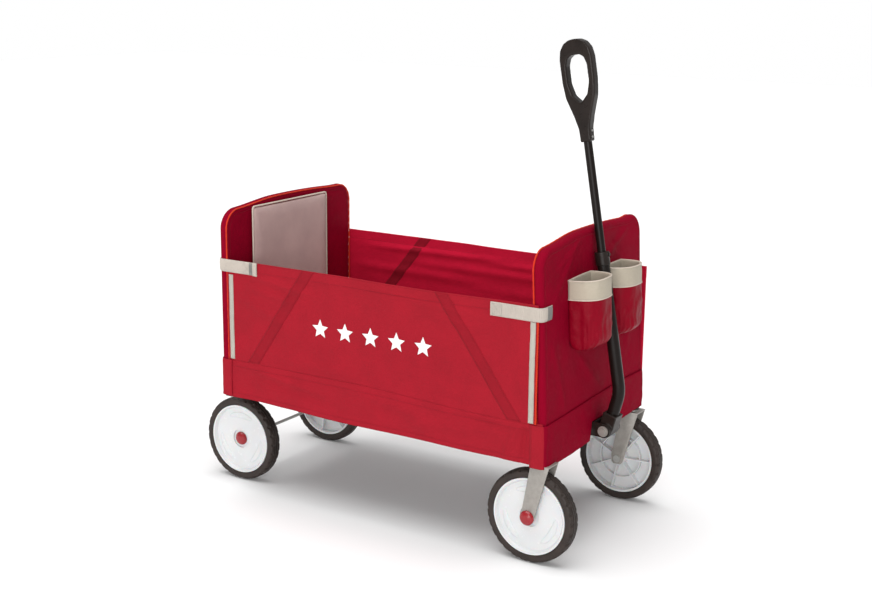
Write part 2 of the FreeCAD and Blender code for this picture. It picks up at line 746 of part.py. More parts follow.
def make_pocket(side_name, side):
    """An open fabric pocket on the front panel, in the panel's leaning frame."""
    inner, outer = D.pocket_inner.value, D.pocket_outer.value
    low = (D.pocket_bottom - D.corner_top).value
    high = (D.pocket_top - D.corner_top).value
    face = D.end_thickness.value / 2
    depth = D.pocket_depth.value
    cloth = POCKET_CLOTH
    band = D.pocket_band.value
    left = inner if side > 0 else -outer
    width = outer - inner

    def bag(grow, bottom, top):
        solid = Part.makeBox(depth - grow, width - 2 * grow, top - bottom, Vector(face, left + grow, bottom))
        rounded = [edge for edge in solid.Edges
                   if edge.BoundBox.ZLength > 10 and edge.BoundBox.XMin > face + 5]
        return solid.makeFillet(POCKET_ROUND - grow, rounded)

    body = bag(0, low, high).cut(bag(cloth, low + cloth, high + 5).fuse(
        Part.makeBox(cloth * 2, width - 2 * cloth, high, Vector(face - cloth, left + cloth, low + cloth))))
    ring = bag(-BAND_PROUD, high - band, high + 1).cut(bag(-0.05, high - band - 5, high + 5))
    ring = ring.cut(Part.makeBox(20, width + 20, band + 20, Vector(face - 20, left - 10, high - band - 10)))
    keep(shaped(f"pocket_{side_name}_bag", body, front_frame), f"{side_name}_pocket")
    return shaped(f"pocket_{side_name}_ring", ring, front_frame)


bands = [make_pocket(side_name, side) for side_name, side in SIDES.items()]
keep(fuse("pocket_band_pair", bands), "pocket_bands")


# ---------------------------------------------------------------- pull handle

# A clevis on the front cross tube holds the handle's pivot bolt.
CLEVIS_IN, CLEVIS_OUT = 24.4, 29
CLEVIS_BELOW, CLEVIS_ABOVE = 15, 17
BOLT_RADIUS, BOLT_HALF = 4, 35
WASHER_RADIUS, WASHER_THICK = 12.5, 2.5
NUT_RADIUS, NUT_THICK = 7, 4.5
clevis_heights = (D.pivot_height - CLEVIS_BELOW, D.pivot_height + CLEVIS_ABOVE)
clevis = []
for side_name, side in SIDES.items():
    low_y, high_y = in_order(CLEVIS_IN * side, CLEVIS_OUT * side)
    label = f"clevis_{side_name}"
    plate = block(label + "_plate", (front_plane + 13, pivot_x), (low_y, high_y), clevis_heights)
    eye = rod(label + "_eye", 16, high_y - low_y, (pivot_x, low_y, D.pivot_height), "y")
    clevis += [plate, eye]
clevis.append(block("clevis_web", (front_plane + 12.4, front_plane + 18), (-CLEVIS_OUT, CLEVIS_OUT),
                    clevis_heights))
clevis_bore = rod("clevis_bore", BOLT_RADIUS, 80, (pivot_x, -40, D.pivot_height), "y")
keep(cut("clevis_solid", fuse("clevis_raw", clevis), [clevis_bore]), "handle_bracket")

bolt_parts = [rod("bolt_shank", BOLT_RADIUS, BOLT_HALF * 2, (pivot_x, -BOLT_HALF, D.pivot_height), "y")]
for side_name, side in SIDES.items():
    washer_y = CLEVIS_OUT if side > 0 else -CLEVIS_OUT - WASHER_THICK
    nut_y = BOLT_HALF - 4 if side > 0 else -BOLT_HALF - 0.5
    bolt_parts.append(rod(f"bolt_washer_{side_name}", WASHER_RADIUS, WASHER_THICK,
                          (pivot_x, washer_y, D.pivot_height), "y"))
    bolt_parts.append(rod(f"bolt_nut_{side_name}", NUT_RADIUS, NUT_THICK,
                          (pivot_x, nut_y, D.pivot_height), "y"))
keep(fuse("pivot_bolt_solid", bolt_parts), "handle_pivot_bolt")

pivot = Vector(pivot_x.value, 0, D.pivot_height.value)
foot_angle = math.radians(D.foot_lean.value)
lean = math.radians(D.handle_lean.value)
foot_dir = Vector(math.sin(foot_angle), 0, math.cos(foot_angle))
up_dir = Vector(-math.sin(lean), 0, math.cos(lean))
kink = pivot + foot_dir * D.foot_length.value
lower_end = kink + up_dir * D.lower_length.value
FOOT_START = 17
HANDLE_BEND = 90
lower_tube = swept_tube([pivot + foot_dir * FOOT_START, kink, lower_end], HANDLE_BEND,
                        D.lower_tube.value, D.tube_wall.value)
keep(shaped("handle_lower_bent", lower_tube), "handle_lower_tube")

# The knuckle is moulded round the tube's foot and turns on the pivot bolt.
knuckle_frame = Placement(pivot, Rotation(Vector(0, 1, 0), D.foot_lean.value))
KNUCKLE, KNUCKLE_HALF = 17, 24
knuckle = Part.makeCylinder(KNUCKLE, 2 * KNUCKLE_HALF, Vector(0, -KNUCKLE_HALF, 0), Vector(0, 1, 0))
knuckle = knuckle.fuse(Part.makeBox(2 * KNUCKLE, 38, 40, Vector(-KNUCKLE, -19, 0)))
knuckle = knuckle.cut(Part.makeCylinder(D.lower_tube.value, 60, Vector(0, 0, FOOT_START)))
knuckle = knuckle.cut(Part.makeCylinder(BOLT_RADIUS + D.pin_play.value, 60,
                                        Vector(0, -30, 0), Vector(0, 1, 0)))
keep(shaped("knuckle_moulding", knuckle, knuckle_frame), "handle_knuckle")

# Everything above the kink is straight, so it is built upright and leaned back with the tube.
upper_frame = Placement(lower_end, Rotation(Vector(0, 1, 0), -D.handle_lean.value))
BUTTON_Z, BUTTON_RADIUS = 7, 4
COLLAR_RADIUS, COLLAR_TALL = 16.2, 30
COLLAR_BORE = D.upper_tube.value + 0.15
collar = Part.makeCylinder(COLLAR_RADIUS, COLLAR_TALL, Vector(0, 0, -16))
collar = collar.cut(Part.makeCylinder(D.lower_tube.value, 16, Vector(0, 0, -16)))
collar = collar.cut(Part.makeCylinder(COLLAR_BORE, 40, Vector(0, 0, -18)))
boss = Part.makeCylinder(6.5, 5.7, Vector(11.5, 0, BUTTON_Z), Vector(1, 0, 0))
collar = collar.fuse(boss.cut(Part.makeCylinder(COLLAR_BORE, 40, Vector(0, 0, -18))))
collar = collar.cut(Part.makeCylinder(BUTTON_RADIUS + 0.2, 9, Vector(11.2, 0, BUTTON_Z), Vector(1, 0, 0)))
keep(shaped("collar_moulding", collar, upper_frame), "handle_collar")
button = Part.makeCylinder(BUTTON_RADIUS, 5.5, Vector(13.9, 0, BUTTON_Z), Vector(1, 0, 0))
button = button.makeFillet(0.8, [edge for edge in button.Edges if edge.BoundBox.XMin > 19])
keep(shaped("button_moulding", button, upper_frame), "lock_button")

grip_base = D.upper_showing.value + 10
tube_low = -D.upper_overlap.value
SOCKET_DEPTH = 42
tube_length = grip_base - tube_low + SOCKET_DEPTH
upper = Part.makeCylinder(D.upper_tube.value, tube_length, Vector(0, 0, tube_low))
upper = upper.cut(Part.makeCylinder(D.upper_tube.value - D.tube_wall.value, tube_length + 2,
                                    Vector(0, 0, tube_low - 1)))
keep(shaped("handle_upper_straight", upper, upper_frame), "handle_upper_tube")

# The grip is a closed teardrop loop that faces sideways, on a flat-sided socket.
grip = new_body("grip_solid")
wide, tall = D.grip_half_width, D.grip_height
grip_face = outline(new_sketch(grip, "grip_outline", "XZ_Plane"), [
    (-12.5, 0), (12.5, 0), (13.5, 30), (21, 58), (wide - 4, 100), (wide, 135), (wide, tall - 42),
    (wide - 4, tall - 22), (wide - 14, tall - 8), (13, tall - 1.5), (0, tall), (-13, tall - 1.5),
    (14 - wide, tall - 8), (4 - wide, tall - 22), (-wide, tall - 42), (-wide, 135), (4 - wide, 100),
    (-21, 58), (-13.5, 30)])
pad(grip, "grip_block", grip_face, D.grip_thickness)
grip_window = outline(new_sketch(grip, "grip_window", "XZ_Plane"), [
    (0, 87), (18, 105), (25.5, 132), (25.5, tall - 58), (20, tall - 42), (10, tall - 35), (-10, tall - 35),
    (-20, tall - 42), (-25.5, tall - 58), (-25.5, 132), (-18, 105)])
pocket(grip, "grip_opening", grip_window, 60)
socket = rod("grip_socket", D.upper_tube, SOCKET_DEPTH, (0, 0, 0))
grip_bored = cut("grip_bored", grip, [socket])
grip_bored.Placement = upper_frame.multiply(Placement(Vector(0, 0, grip_base), Rotation()))
keep(grip_bored, "handle_grip")
screw_shapes = [Part.makeCylinder(2.6, 1.2, Vector(12.6 + height / 30, 0, grip_base + height),
                                  Vector(1, 0, 0))
                for height in (10, 24)]
keep(shaped("grip_screw_pair", Part.makeCompound(screw_shapes), upper_frame), "grip_screws")


# ---------------------------------------------------------------- check and write

doc.recompute()
for obj in doc.Objects:
    if "Invalid" in obj.State or "Error" in obj.State:
        raise RuntimeError(f"{obj.Name} did not build: {obj.State}")
for name, obj in nodes.items():
    if obj.Shape.isNull() or not obj.Shape.isValid() or not obj.Shape.Solids:
        raise RuntimeError(f"{name} has no valid shape")
NODE_LIMIT = 60
if len(nodes) > NODE_LIMIT:
    raise RuntimeError(f"{len(nodes)} nodes")
os.makedirs("parts", exist_ok=True)
for name, obj in nodes.items():
    obj.Shape.exportStep(f"parts/{name}.step")
    print(f"{name}: {obj.Shape.Volume / 1000:.1f} cm3, {len(obj.Shape.Solids)} solids")
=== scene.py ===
import math

import bmesh
import bpy
import numpy as np
from mathutils import Matrix, Vector, noise
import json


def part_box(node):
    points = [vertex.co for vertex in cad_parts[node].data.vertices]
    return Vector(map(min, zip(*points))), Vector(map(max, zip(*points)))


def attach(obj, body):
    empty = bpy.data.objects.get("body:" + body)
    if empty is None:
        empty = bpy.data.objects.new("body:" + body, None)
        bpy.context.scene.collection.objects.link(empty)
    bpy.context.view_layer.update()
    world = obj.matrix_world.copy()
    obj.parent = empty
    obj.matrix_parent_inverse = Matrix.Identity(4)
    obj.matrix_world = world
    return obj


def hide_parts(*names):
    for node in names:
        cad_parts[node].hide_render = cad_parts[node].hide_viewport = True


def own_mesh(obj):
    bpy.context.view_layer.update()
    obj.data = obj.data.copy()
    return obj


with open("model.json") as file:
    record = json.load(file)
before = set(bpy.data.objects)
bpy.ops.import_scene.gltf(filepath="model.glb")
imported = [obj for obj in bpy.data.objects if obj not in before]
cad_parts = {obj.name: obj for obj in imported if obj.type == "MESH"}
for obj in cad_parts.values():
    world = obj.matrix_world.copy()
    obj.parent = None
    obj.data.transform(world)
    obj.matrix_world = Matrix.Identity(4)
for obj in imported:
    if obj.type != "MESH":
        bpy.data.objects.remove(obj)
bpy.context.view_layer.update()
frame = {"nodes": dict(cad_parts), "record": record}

# The looks of a folding fabric wagon, in metres.  X points to the pull handle, Y to the wagon's left, Z up.
MM = 0.001
RIGHT, LEFT = -1, 1


# ---------------------------------------------------------------- places taken from the frame

def low(node):
    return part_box(node)[0]


def high(node):
    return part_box(node)[1]


SIDE_Y = high("left_side_panel").y
SIDE_TOP = high("left_side_panel").z
SEAM_Z = low("left_side_panel").z
SKIRT_LOW = low("left_skirt").z
FLAP_REAR = low("side_flap_panel").x
FLAP_FRONT = high("side_flap_panel").x
SIDE_FRONT = high("left_side_panel").x
PANEL_FOOT = low("rear_hoop").z
FRONT_LEAN = math.radians(3)
END_HALF_THICK = 12 * MM
END_CORNER = 50 * MM
END_CROWN = 7 * MM
RIM_RADIUS = 11 * MM
CLOTH = 1.6 * MM


def smooth_step(value):
    value = min(1.0, max(0.0, value))
    return value * value * (3 - 2 * value)


class End:
    """One end panel: a plane that stands at a foot point and leans back towards the tub.

    Its cloth sags at the top corner on the wagon's right by droop, and rides up by lift at the other."""

    def __init__(self, name, x, lean, outward, half, top, droop, lift):
        self.droop = droop
        self.lift = lift
        self.name = name
        self.body = name + "_end"
        self.half = half
        self.height = top
        self.outward = outward
        self.foot = Vector((x, 0, PANEL_FOOT))
        self.up = Vector((-outward * math.sin(lean), 0, math.cos(lean)))
        self.out = Vector((outward * math.cos(lean), 0, math.sin(lean)))

    def at(self, y, up, out):
        """y across, up along the panel from its foot, and out of its middle plane, away from the tub."""
        high_up = smooth_step((up - 0.24) / 0.17)
        slump = self.lift * smooth_step((y - 0.17) / 0.06) - self.droop * smooth_step((-y - 0.06) / 0.14)
        return self.foot + self.up * (up + slump * high_up) + self.out * out + Vector((0, y, 0))


REAR = End("rear", (low("rear_board").x + high("rear_board").x) / 2, 0, -1, high("rear_cover").y,
           high("rear_cover").z - PANEL_FOOT, 6 * MM, 3 * MM)
STEM_X = (low("caster_left_stem").x + high("caster_left_stem").x) / 2
FRONT = End("front", STEM_X, FRONT_LEAN, 1, high("front_cover").y,
            (high("front_cover").z - PANEL_FOOT) / math.cos(FRONT_LEAN), 8 * MM, 7 * MM)
ENDS = (REAR, FRONT)


# ---------------------------------------------------------------- materials

class Nodes:
    """A material's node tree, with short ways to add and join nodes."""

    def __init__(self, name):
        self.material = bpy.data.materials.new(name)
        self.material.use_nodes = True
        self.tree = self.material.node_tree
        self.shader = self.tree.nodes["Principled BSDF"]
        self.place = self.add("ShaderNodeTexCoord").outputs["Object"]

    def add(self, kind, **settings):
        node = self.tree.nodes.new(kind)
        for key, value in settings.items():
            if hasattr(node, key):
                setattr(node, key, value)
            else:
                node.inputs[key].default_value = value
        return node

    def join(self, output, node, socket):
        self.tree.links.new(output, node.inputs[socket])

    def stretched(self, scale):
        node = self.add("ShaderNodeMapping")
        node.inputs["Scale"].default_value = scale
        self.join(self.place, node, "Vector")
        return node.outputs["Vector"]

    def noise(self, size, detail=4, rough=0.55, stretch=(1, 1, 1)):
        """Noise whose features are about size metres."""
        node = self.add("ShaderNodeTexNoise", Scale=1 / size, Detail=detail, Roughness=rough)
        self.join(self.stretched(stretch), node, "Vector")
        return node.outputs["Fac"]

    def ramp(self, value, *stops):
        node = self.add("ShaderNodeValToRGB")
        elements = node.color_ramp.elements
        while len(elements) < len(stops):
            elements.new(0.5)
        for element, (position, colour) in zip(elements, stops):
            element.position = position
            element.color = (*colour, 1)
        self.join(value, node, "Fac")
        return node.outputs["Color"]

    def colour(self, value, *stops):
        self.join(self.ramp(value, *stops), self.shader, "Base Color")

    def roughness(self, value, *stops):
        self.join(self.ramp(value, *[(position, (level,) * 3) for position, level in stops]),
                  self.shader, "Roughness")

    def math(self, operation, *values):
        node = self.add("ShaderNodeMath", operation=operation)
        for socket, value in enumerate(values):
            if isinstance(value, (int, float)):
                node.inputs[socket].default_value = value
            else:
                self.join(value, node, socket)
        return node.outputs[0]

    def weave(self, pitch):
        """Plain weave on any upright or level face: crossing threads of this pitch, from 0 to 1."""
        apart = self.add("ShaderNodeSeparateXYZ")
        self.join(self.place, apart, "Vector")
        turn = 2 * math.pi / pitch
        across = self.math("ADD", apart.outputs["X"], apart.outputs["Y"])
        warp = self.math("SINE", self.math("MULTIPLY", across, turn))
        along = self.math("ADD", apart.outputs["Z"], self.math("MULTIPLY", apart.outputs["Y"], 0.31))
        weft = self.math("SINE", self.math("MULTIPLY", along, turn))
        both = self.math("MULTIPLY", warp, weft)
        return self.math("ADD", self.math("MULTIPLY", both, 0.5), 0.5)

    def bumps(self, *layers):
        """Bump layers of (height, depth in metres), joined in a chain to the shader."""
        before = None
        for height, depth in layers:
            node = self.add("ShaderNodeBump", Distance=depth, Strength=1.0)
            self.join(height, node, "Height")
            if before is not None:
                self.join(before, node, "Normal")
            before = node.outputs["Normal"]
        self.join(before, self.shader, "Normal")

    def set(self, **values):
        for key, value in values.items():
            self.shader.inputs[key.replace("_", " ")].default_value = value


def tint(colour, factor):
    return tuple(min(1.0, channel * factor) for channel in colour)


def cloth_material(name, colour, pitch=0.9 * MM, rough=(0.62, 0.78), sheen=0.04, sheen_tint=(1, 1, 1),
                   weave_depth=0.12 * MM, crease=0.5 * MM, contrast=0.12, gloss=0.12):
    n = Nodes(name)
    weave = n.weave(pitch)
    mottle = n.noise(60 * MM, 5)
    slub = n.noise(6 * MM, 3, 0.6, (1, 1, 4))
    blend = n.math("ADD", n.math("MULTIPLY", mottle, 0.6), n.math("MULTIPLY", slub, 0.4))
    tone = n.ramp(blend, (0.3, tint(colour, 1 - contrast)), (0.72, tint(colour, 1 + contrast)))
    threads = n.ramp(weave, (0.0, (0.8, 0.8, 0.8)), (0.6, (1, 1, 1)))
    mixed = n.add("ShaderNodeMix", data_type="RGBA", blend_type="MULTIPLY")
    mixed.inputs[0].default_value = 1
    n.join(tone, mixed, 6)
    n.join(threads, mixed, 7)
    n.join(mixed.outputs[2], n.shader, "Base Color")
    n.roughness(mottle, (0.3, rough[0]), (0.7, rough[1]))
    n.set(Sheen_Weight=sheen, Sheen_Roughness=0.45, Sheen_Tint=(*sheen_tint, 1), Specular_IOR_Level=gloss)
    n.bumps((n.noise(25 * MM, 4), crease), (weave, weave_depth))
    return n.material


def plastic_material(name, colour, rough=0.28, grain=0.05 * MM, wear=0.06, coat=0.0, through=0.0, gloss=0.5):
    n = Nodes(name)
    cloud = n.noise(45 * MM, 4)
    fine = n.noise(1.4 * MM, 2)
    n.colour(cloud, (0.3, tint(colour, 1 - wear)), (0.7, tint(colour, 1 + wear)))
    n.roughness(n.noise(9 * MM, 5), (0.3, rough * 0.85), (0.75, rough * 1.25))
    n.set(Specular_IOR_Level=gloss, Coat_Weight=coat, Coat_Roughness=0.12, Subsurface_Weight=through,
          Subsurface_Scale=4 * MM)
    n.bumps((cloud, 0.15 * MM), (fine, grain))
    return n.material


def metal_material(name, colour, rough, metallic, brushed=(1, 12, 1), grain=0.03 * MM, coat=0.0, gloss=0.3):
    n = Nodes(name)
    brush = n.noise(2 * MM, 3, 0.6, brushed)
    scuff = n.noise(14 * MM, 6, 0.65)
    n.colour(scuff, (0.35, tint(colour, 0.88)), (0.65, tint(colour, 1.06)))
    n.roughness(brush, (0.3, rough * 0.8), (0.75, rough * 1.3))
    n.set(Metallic=metallic, Coat_Weight=coat, Coat_Roughness=0.1, Specular_IOR_Level=gloss)
    n.bumps((brush, grain))
    return n.material


def rubber_material(name, colour):
    n = Nodes(name)
    dust = n.noise(30 * MM, 6, 0.7)
    pores = n.noise(0.9 * MM, 3)
    n.colour(dust, (0.35, tint(colour, 0.8)), (0.7, tint(colour, 1.5)))
    n.roughness(dust, (0.3, 0.42), (0.7, 0.62))
    n.set(Specular_IOR_Level=0.3)
    n.bumps((pores, 0.08 * MM))
    return n.material


# Red cloth for the near side; its green is raised to stand in for the sheen of the near side: painted sheen.
RED = (0.335, 0.0110, 0.022)
DEEP_RED = (0.24, 0.003, 0.014)
BEIGE = (0.47, 0.415, 0.33)
TAUPE = (0.545, 0.385, 0.365)

MATERIALS = {
    # The near side's red carries the painted sheen of RED.
    "red_fabric": cloth_material("red_polyester", RED, sheen_tint=(1, 0.4, 0.4), crease=2.4 * MM, gloss=0.06),
    # A darker copy of the same red cloth for the end covers, end skirts and floor gussets, which face away
    # from the light: painted shade.
    "end_fabric_painted_shade": cloth_material("red_polyester_painted_shade", (0.245, 0.0010, 0.0155), sheen=0.0, crease=2.4 * MM,
                                 gloss=0.03),
    # A brighter copy of the same red cloth for the far side, which lies in the tub's shade: painted light.
    "far_fabric_painted_light": cloth_material("far_red_polyester_painted_light", (0.50, 0.0080, 0.034), sheen=0.0, crease=2.0 * MM,
                                 gloss=0.04),
    # The near bands are a darker tint of the same red and carry its painted sheen.
    "near_band": cloth_material("red_band", tint(RED, 0.84), sheen_tint=(1, 0.4, 0.4), gloss=0.06),
    "band_fabric": cloth_material("deep_red_band", DEEP_RED, sheen_tint=(1, 0.5, 0.5), crease=0.3 * MM),
    "nylon": cloth_material("red_nylon", (0.225, 0.0012, 0.0115), pitch=0.6 * MM, rough=(0.34, 0.5),
                            sheen=0.0, weave_depth=0.05 * MM, crease=2.6 * MM, gloss=0.07),
    "webbing": cloth_material("grey_webbing", (0.56, 0.50, 0.44), pitch=1.3 * MM, rough=(0.7, 0.85),
                              weave_depth=0.3 * MM, crease=0.1 * MM),
    "zip_tape": cloth_material("grey_zip_tape", (0.46, 0.435, 0.38), pitch=1.0 * MM, weave_depth=0.2 * MM),
    # A darker grey tape at the straps' tails that stands in for the shadow of a fold: painted shade.
    "tail_patch_painted_shade": cloth_material("tail_shade_tape", (0.26, 0.25, 0.235), pitch=1.6 * MM, rough=(0.85, 0.95),
                             weave_depth=0.5 * MM, crease=0.1 * MM),
    "beige_tape": cloth_material("beige_band", BEIGE, pitch=0.8 * MM, rough=(0.55, 0.7), crease=0.4 * MM),
    "seat_fabric": cloth_material("taupe_seat_cloth", tint(TAUPE, 0.7), pitch=1.1 * MM, weave_depth=0.2 * MM),
    "pad_fabric": cloth_material("taupe_pad_cloth", TAUPE, pitch=1.1 * MM, weave_depth=0.2 * MM),
    "welt": cloth_material("light_welt", (0.62, 0.54, 0.46), pitch=0.8 * MM, crease=0.2 * MM),
    "piping": cloth_material("orange_red_piping", (0.62, 0.035, 0.012), pitch=0.8 * MM, crease=0.1 * MM),
    "thread": cloth_material("dark_red_thread", (0.20, 0.006, 0.014), pitch=0.5 * MM, rough=(0.5, 0.6),
                             crease=0.02 * MM),
    "pale_thread": cloth_material("grey_thread", (0.45, 0.43, 0.39), pitch=0.5 * MM, rough=(0.5, 0.6),
                                  crease=0.02 * MM),
    "print": cloth_material("white_print", (0.86, 0.86, 0.85), pitch=0.9 * MM, rough=(0.45, 0.6), sheen=0.0,
                            weave_depth=0.06 * MM, contrast=0.03),
    "rim_plastic": plastic_material("white_hub_plastic", (0.63, 0.635, 0.64), rough=0.24, wear=0.02,
                                    grain=0.01 * MM, through=0.25),
    "red_plastic": plastic_material("red_cap_plastic", (0.27, 0.004, 0.009), rough=0.22, coat=0.15),
    "black_plastic": plastic_material("black_moulding", (0.016, 0.011, 0.009), rough=0.3, grain=0.03 * MM,
                                      wear=0.25, gloss=0.2),
    "tyre": rubber_material("tyre_rubber", (0.026, 0.018, 0.015)),
    "zinc_steel": metal_material("zinc_steel", (0.50, 0.50, 0.48), rough=0.42, metallic=0.8),
    "fork_paint": metal_material("warm_grey_coat", (0.31, 0.29, 0.265), rough=0.38, metallic=0.25,
                                 brushed=(1, 1, 1), grain=0.05 * MM, coat=0.15),
    "frame_paint": metal_material("black_frame_coat", (0.012, 0.011, 0.010), rough=0.45, metallic=0.1,
                                  brushed=(1, 1, 1), grain=0.08 * MM),
    "black_tube": metal_material("gloss_black_tube", (0.009, 0.006, 0.005), rough=0.3, metallic=0.0,
                                 brushed=(6, 6, 1), grain=0.01 * MM, gloss=0.16),
    "stiffener": plastic_material("stiffening_board", (0.12, 0.12, 0.12), rough=0.6, grain=0.2 * MM),
}

NODE_SLOT = {part["node"]: part["material_slot"] for part in frame["record"]["subparts"]}
for node_name, node in frame["nodes"].items():
    node.data.materials.clear()
    node.data.materials.append(MATERIALS[NODE_SLOT[node_name]])
# The pivot bolt is as dull and warm as the forks.
frame["nodes"]["handle_pivot_bolt"].data.materials[0] = MATERIALS["fork_paint"]


# ---------------------------------------------------------------- mesh helpers

def new_object(name, data):
    obj = bpy.data.objects.new(name, data)
    bpy.context.scene.collection.objects.link(obj)
    return obj


def add_piece(name, points, faces, body, material, smooth=True):
    """A new mesh that rides on a body, with outward faces."""
    mesh = bpy.data.meshes.new(name)
    mesh.from_pydata([tuple(point) for point in points], [], faces)
    mesh.validate()
    work = bmesh.new()
    work.from_mesh(mesh)
    bmesh.ops.recalc_face_normals(work, faces=work.faces)
    work.to_mesh(mesh)
    work.free()
    if smooth:
        mesh.shade_smooth()
    mesh.materials.append(MATERIALS[material])
    obj = new_object(name, mesh)
    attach(obj, body)
    return obj


def grid_faces(rows, columns, start=0, closed=False):
    """Quads over a grid of points given row by row; closed joins the last column to the first."""
    faces = []
    for row in range(rows - 1):
        for column in range(columns if closed else columns - 1):
            after = (column + 1) % columns
            near, far = start + row * columns, start + (row + 1) * columns
            faces.append((near + column, near + after, far + after, far + column))
    return faces


def point_grid(rows, columns, place):
    """Rows of points; place gives each from its shares, 0 to 1, up the rows and along the columns."""
    return [[place(row / rows, column / columns) for column in range(columns + 1)] for row in range(rows + 1)]


def both_edges(grid):
    """The lines of points one step in from both side edges of a grid."""
    return [[line[1] for line in grid], [line[-2] for line in grid]]


def tube_faces(rings, sides, closed):
    """Faces over rings of points: the last ring joins the first if closed, else both ends are capped."""
    faces = grid_faces(rings, sides, closed=True)
    last = (rings - 1) * sides
    if closed:
        return faces + [(last + s, last + (s + 1) % sides, (s + 1) % sides, s) for s in range(sides)]
    return faces + [tuple(range(sides)), tuple(range(last, last + sides))]


def shell_faces(rows, columns):
    """Faces of two equal grids, one listed after the other, joined round their edges."""
    offset = rows * columns
    faces = grid_faces(rows, columns) + grid_faces(rows, columns, offset)
    edge = [(0, column) for column in range(columns)]
    edge += [(row, columns - 1) for row in range(1, rows)]
    edge += [(rows - 1, column) for column in range(columns - 2, -1, -1)]
    edge += [(row, 0) for row in range(rows - 2, 0, -1)]
    loop = [row * columns + column for row, column in edge]
    for here, there in zip(loop, loop[1:] + loop[:1]):
        faces.append((here, there, there + offset, here + offset))
    return faces


def make_sheet(name, grid, thickness, body, material, flip=False):
    """A closed sheet: the grid is its outer face, wound the other way if flip, and the other lies behind."""
    grid = np.asarray(grid, float)
    normal = np.cross(np.gradient(grid, axis=1), np.gradient(grid, axis=0))
    normal /= np.maximum(np.linalg.norm(normal, axis=2, keepdims=True), 1e-12)
    behind = grid + normal * (thickness if flip else -thickness)
    points = np.concatenate([grid.reshape(-1, 3), behind.reshape(-1, 3)])
    return add_piece(name, points, shell_faces(*grid.shape[:2]), body, material)


def sweep(name, path, radius, body, material, sides=8, closed=False, ripple=0.0):
    """A round bead along a path of points, with closed ends, or joined into a ring if closed."""
    count = len(path)
    points = []
    side_hint = Vector((0.13, 0.21, 0.97)).normalized()
    for index, point in enumerate(path):
        before = path[index - 1] if index or closed else point
        after = path[(index + 1) % count] if index < count - 1 or closed else point
        along = (after - before).normalized()
        first = along.cross(side_hint)
        first = first.normalized() if first.length > 1e-4 else Vector((1, 0, 0))
        second = along.cross(first)
        swell = radius * (1 + ripple * math.sin(index * 2.1))
        for side in range(sides):
            turn = 2 * math.pi * side / sides
            points.append(point + first * math.cos(turn) * swell + second * math.sin(turn) * swell)
    return add_piece(name, points, tube_faces(count, sides, closed), body, material)


def measured(path):
    """A path's whole length, and a function that gives the point at a distance along it."""
    lengths = np.cumsum([0.0] + [(b - a).length for a, b in zip(path, path[1:])])
    coordinates = np.array([tuple(point) for point in path])

    def at(spot):
        return Vector([np.interp(spot, lengths, coordinates[:, axis]) for axis in range(3)])
    return lengths[-1], at


def resampled(path, step):
    """The path's points about a step apart, and how far along each lies."""
    length, at = measured(path)
    spots = np.linspace(0, length, max(2, round(length / step)))
    return [at(spot) for spot in spots], spots


def add_stitches(name, paths, facing, body, material="thread", pitch=4.4 * MM, long=3.0 * MM,
                 wide=0.7 * MM, proud=0.45 * MM):
    """Short thread bars along each path; facing is a direction, or gives one for a point."""
    points, faces = [], []
    for path in paths:
        length, at = measured([Vector(point) for point in path])
        for centre in np.arange(pitch / 2, length, pitch):
            ends = [at(centre - long / 2), at(centre + long / 2)]
            along = (ends[1] - ends[0]).normalized()
            out = facing((ends[0] + ends[1]) / 2) if callable(facing) else facing
            side = along.cross(out).normalized() * wide / 2
            start = len(points)
            for end, pull in ((ends[0], -1), (ends[1], 1)):
                top = end + out * proud - along * pull * long * 0.15
                points += [end - side - out * proud, end + side - out * proud,
                           top + side * 0.6, top - side * 0.6]
            for face in tube_faces(2, 4, closed=False):
                faces.append(tuple(start + corner for corner in face))
    return add_piece(name, points, faces, body, material, smooth=False)


def fold_lines(folds, a, b):
    """Height of soft folds at (a, b); each fold is (a0, b0, a1, b1, half width, height)."""
    total = 0.0
    for a0, b0, a1, b1, width, height in folds:
        length = math.hypot(a1 - a0, b1 - b0)
        ca, cb = (a1 - a0) / length, (b1 - b0) / length
        along = ((a - a0) * ca + (b - b0) * cb) / length
        if not -0.2 < along < 1.2:
            continue
        off = abs((b - b0) * ca - (a - a0) * cb)
        fade = smooth_step((along + 0.2) / 0.45) * smooth_step((1.2 - along) / 0.45)
        total += height * fade * math.exp(-((off / width) ** 2))
    return total


def soft_noise(a, b, seed):
    return noise.noise(Vector((a, b, seed)))


# ---------------------------------------------------------------- fabric sides

HEM = 25 * MM
BAND_WIDE = 36 * MM
BAND_THICK = 0.5 * MM
SIDE_STEP = 4 * MM
SIDE_THICK = 2.2 * MM
SIDE_FOLD_DEPTH = 2.1
# Folds of the near flap: x, z of both ends, half width, height outward before SIDE_FOLD_DEPTH.
FLAP_FOLDS = [
    (-0.33, 0.556, -0.14, 0.532, 9 * MM, 2.2 * MM), (-0.34, 0.530, -0.20, 0.506, 11 * MM, 1.8 * MM),
    (-0.37, 0.50, -0.24, 0.455, 14 * MM, 1.5 * MM), (0.33, 0.545, 0.10, 0.563, 10 * MM, 1.6 * MM),
    (0.35, 0.520, 0.16, 0.535, 12 * MM, 1.4 * MM), (0.06, 0.40, 0.30, 0.36, 20 * MM, 1.2 * MM),
    (-0.30, 0.37, -0.05, 0.355, 16 * MM, 1.2 * MM), (0.40, 0.44, 0.43, 0.36, 8 * MM, 1.3 * MM),
]
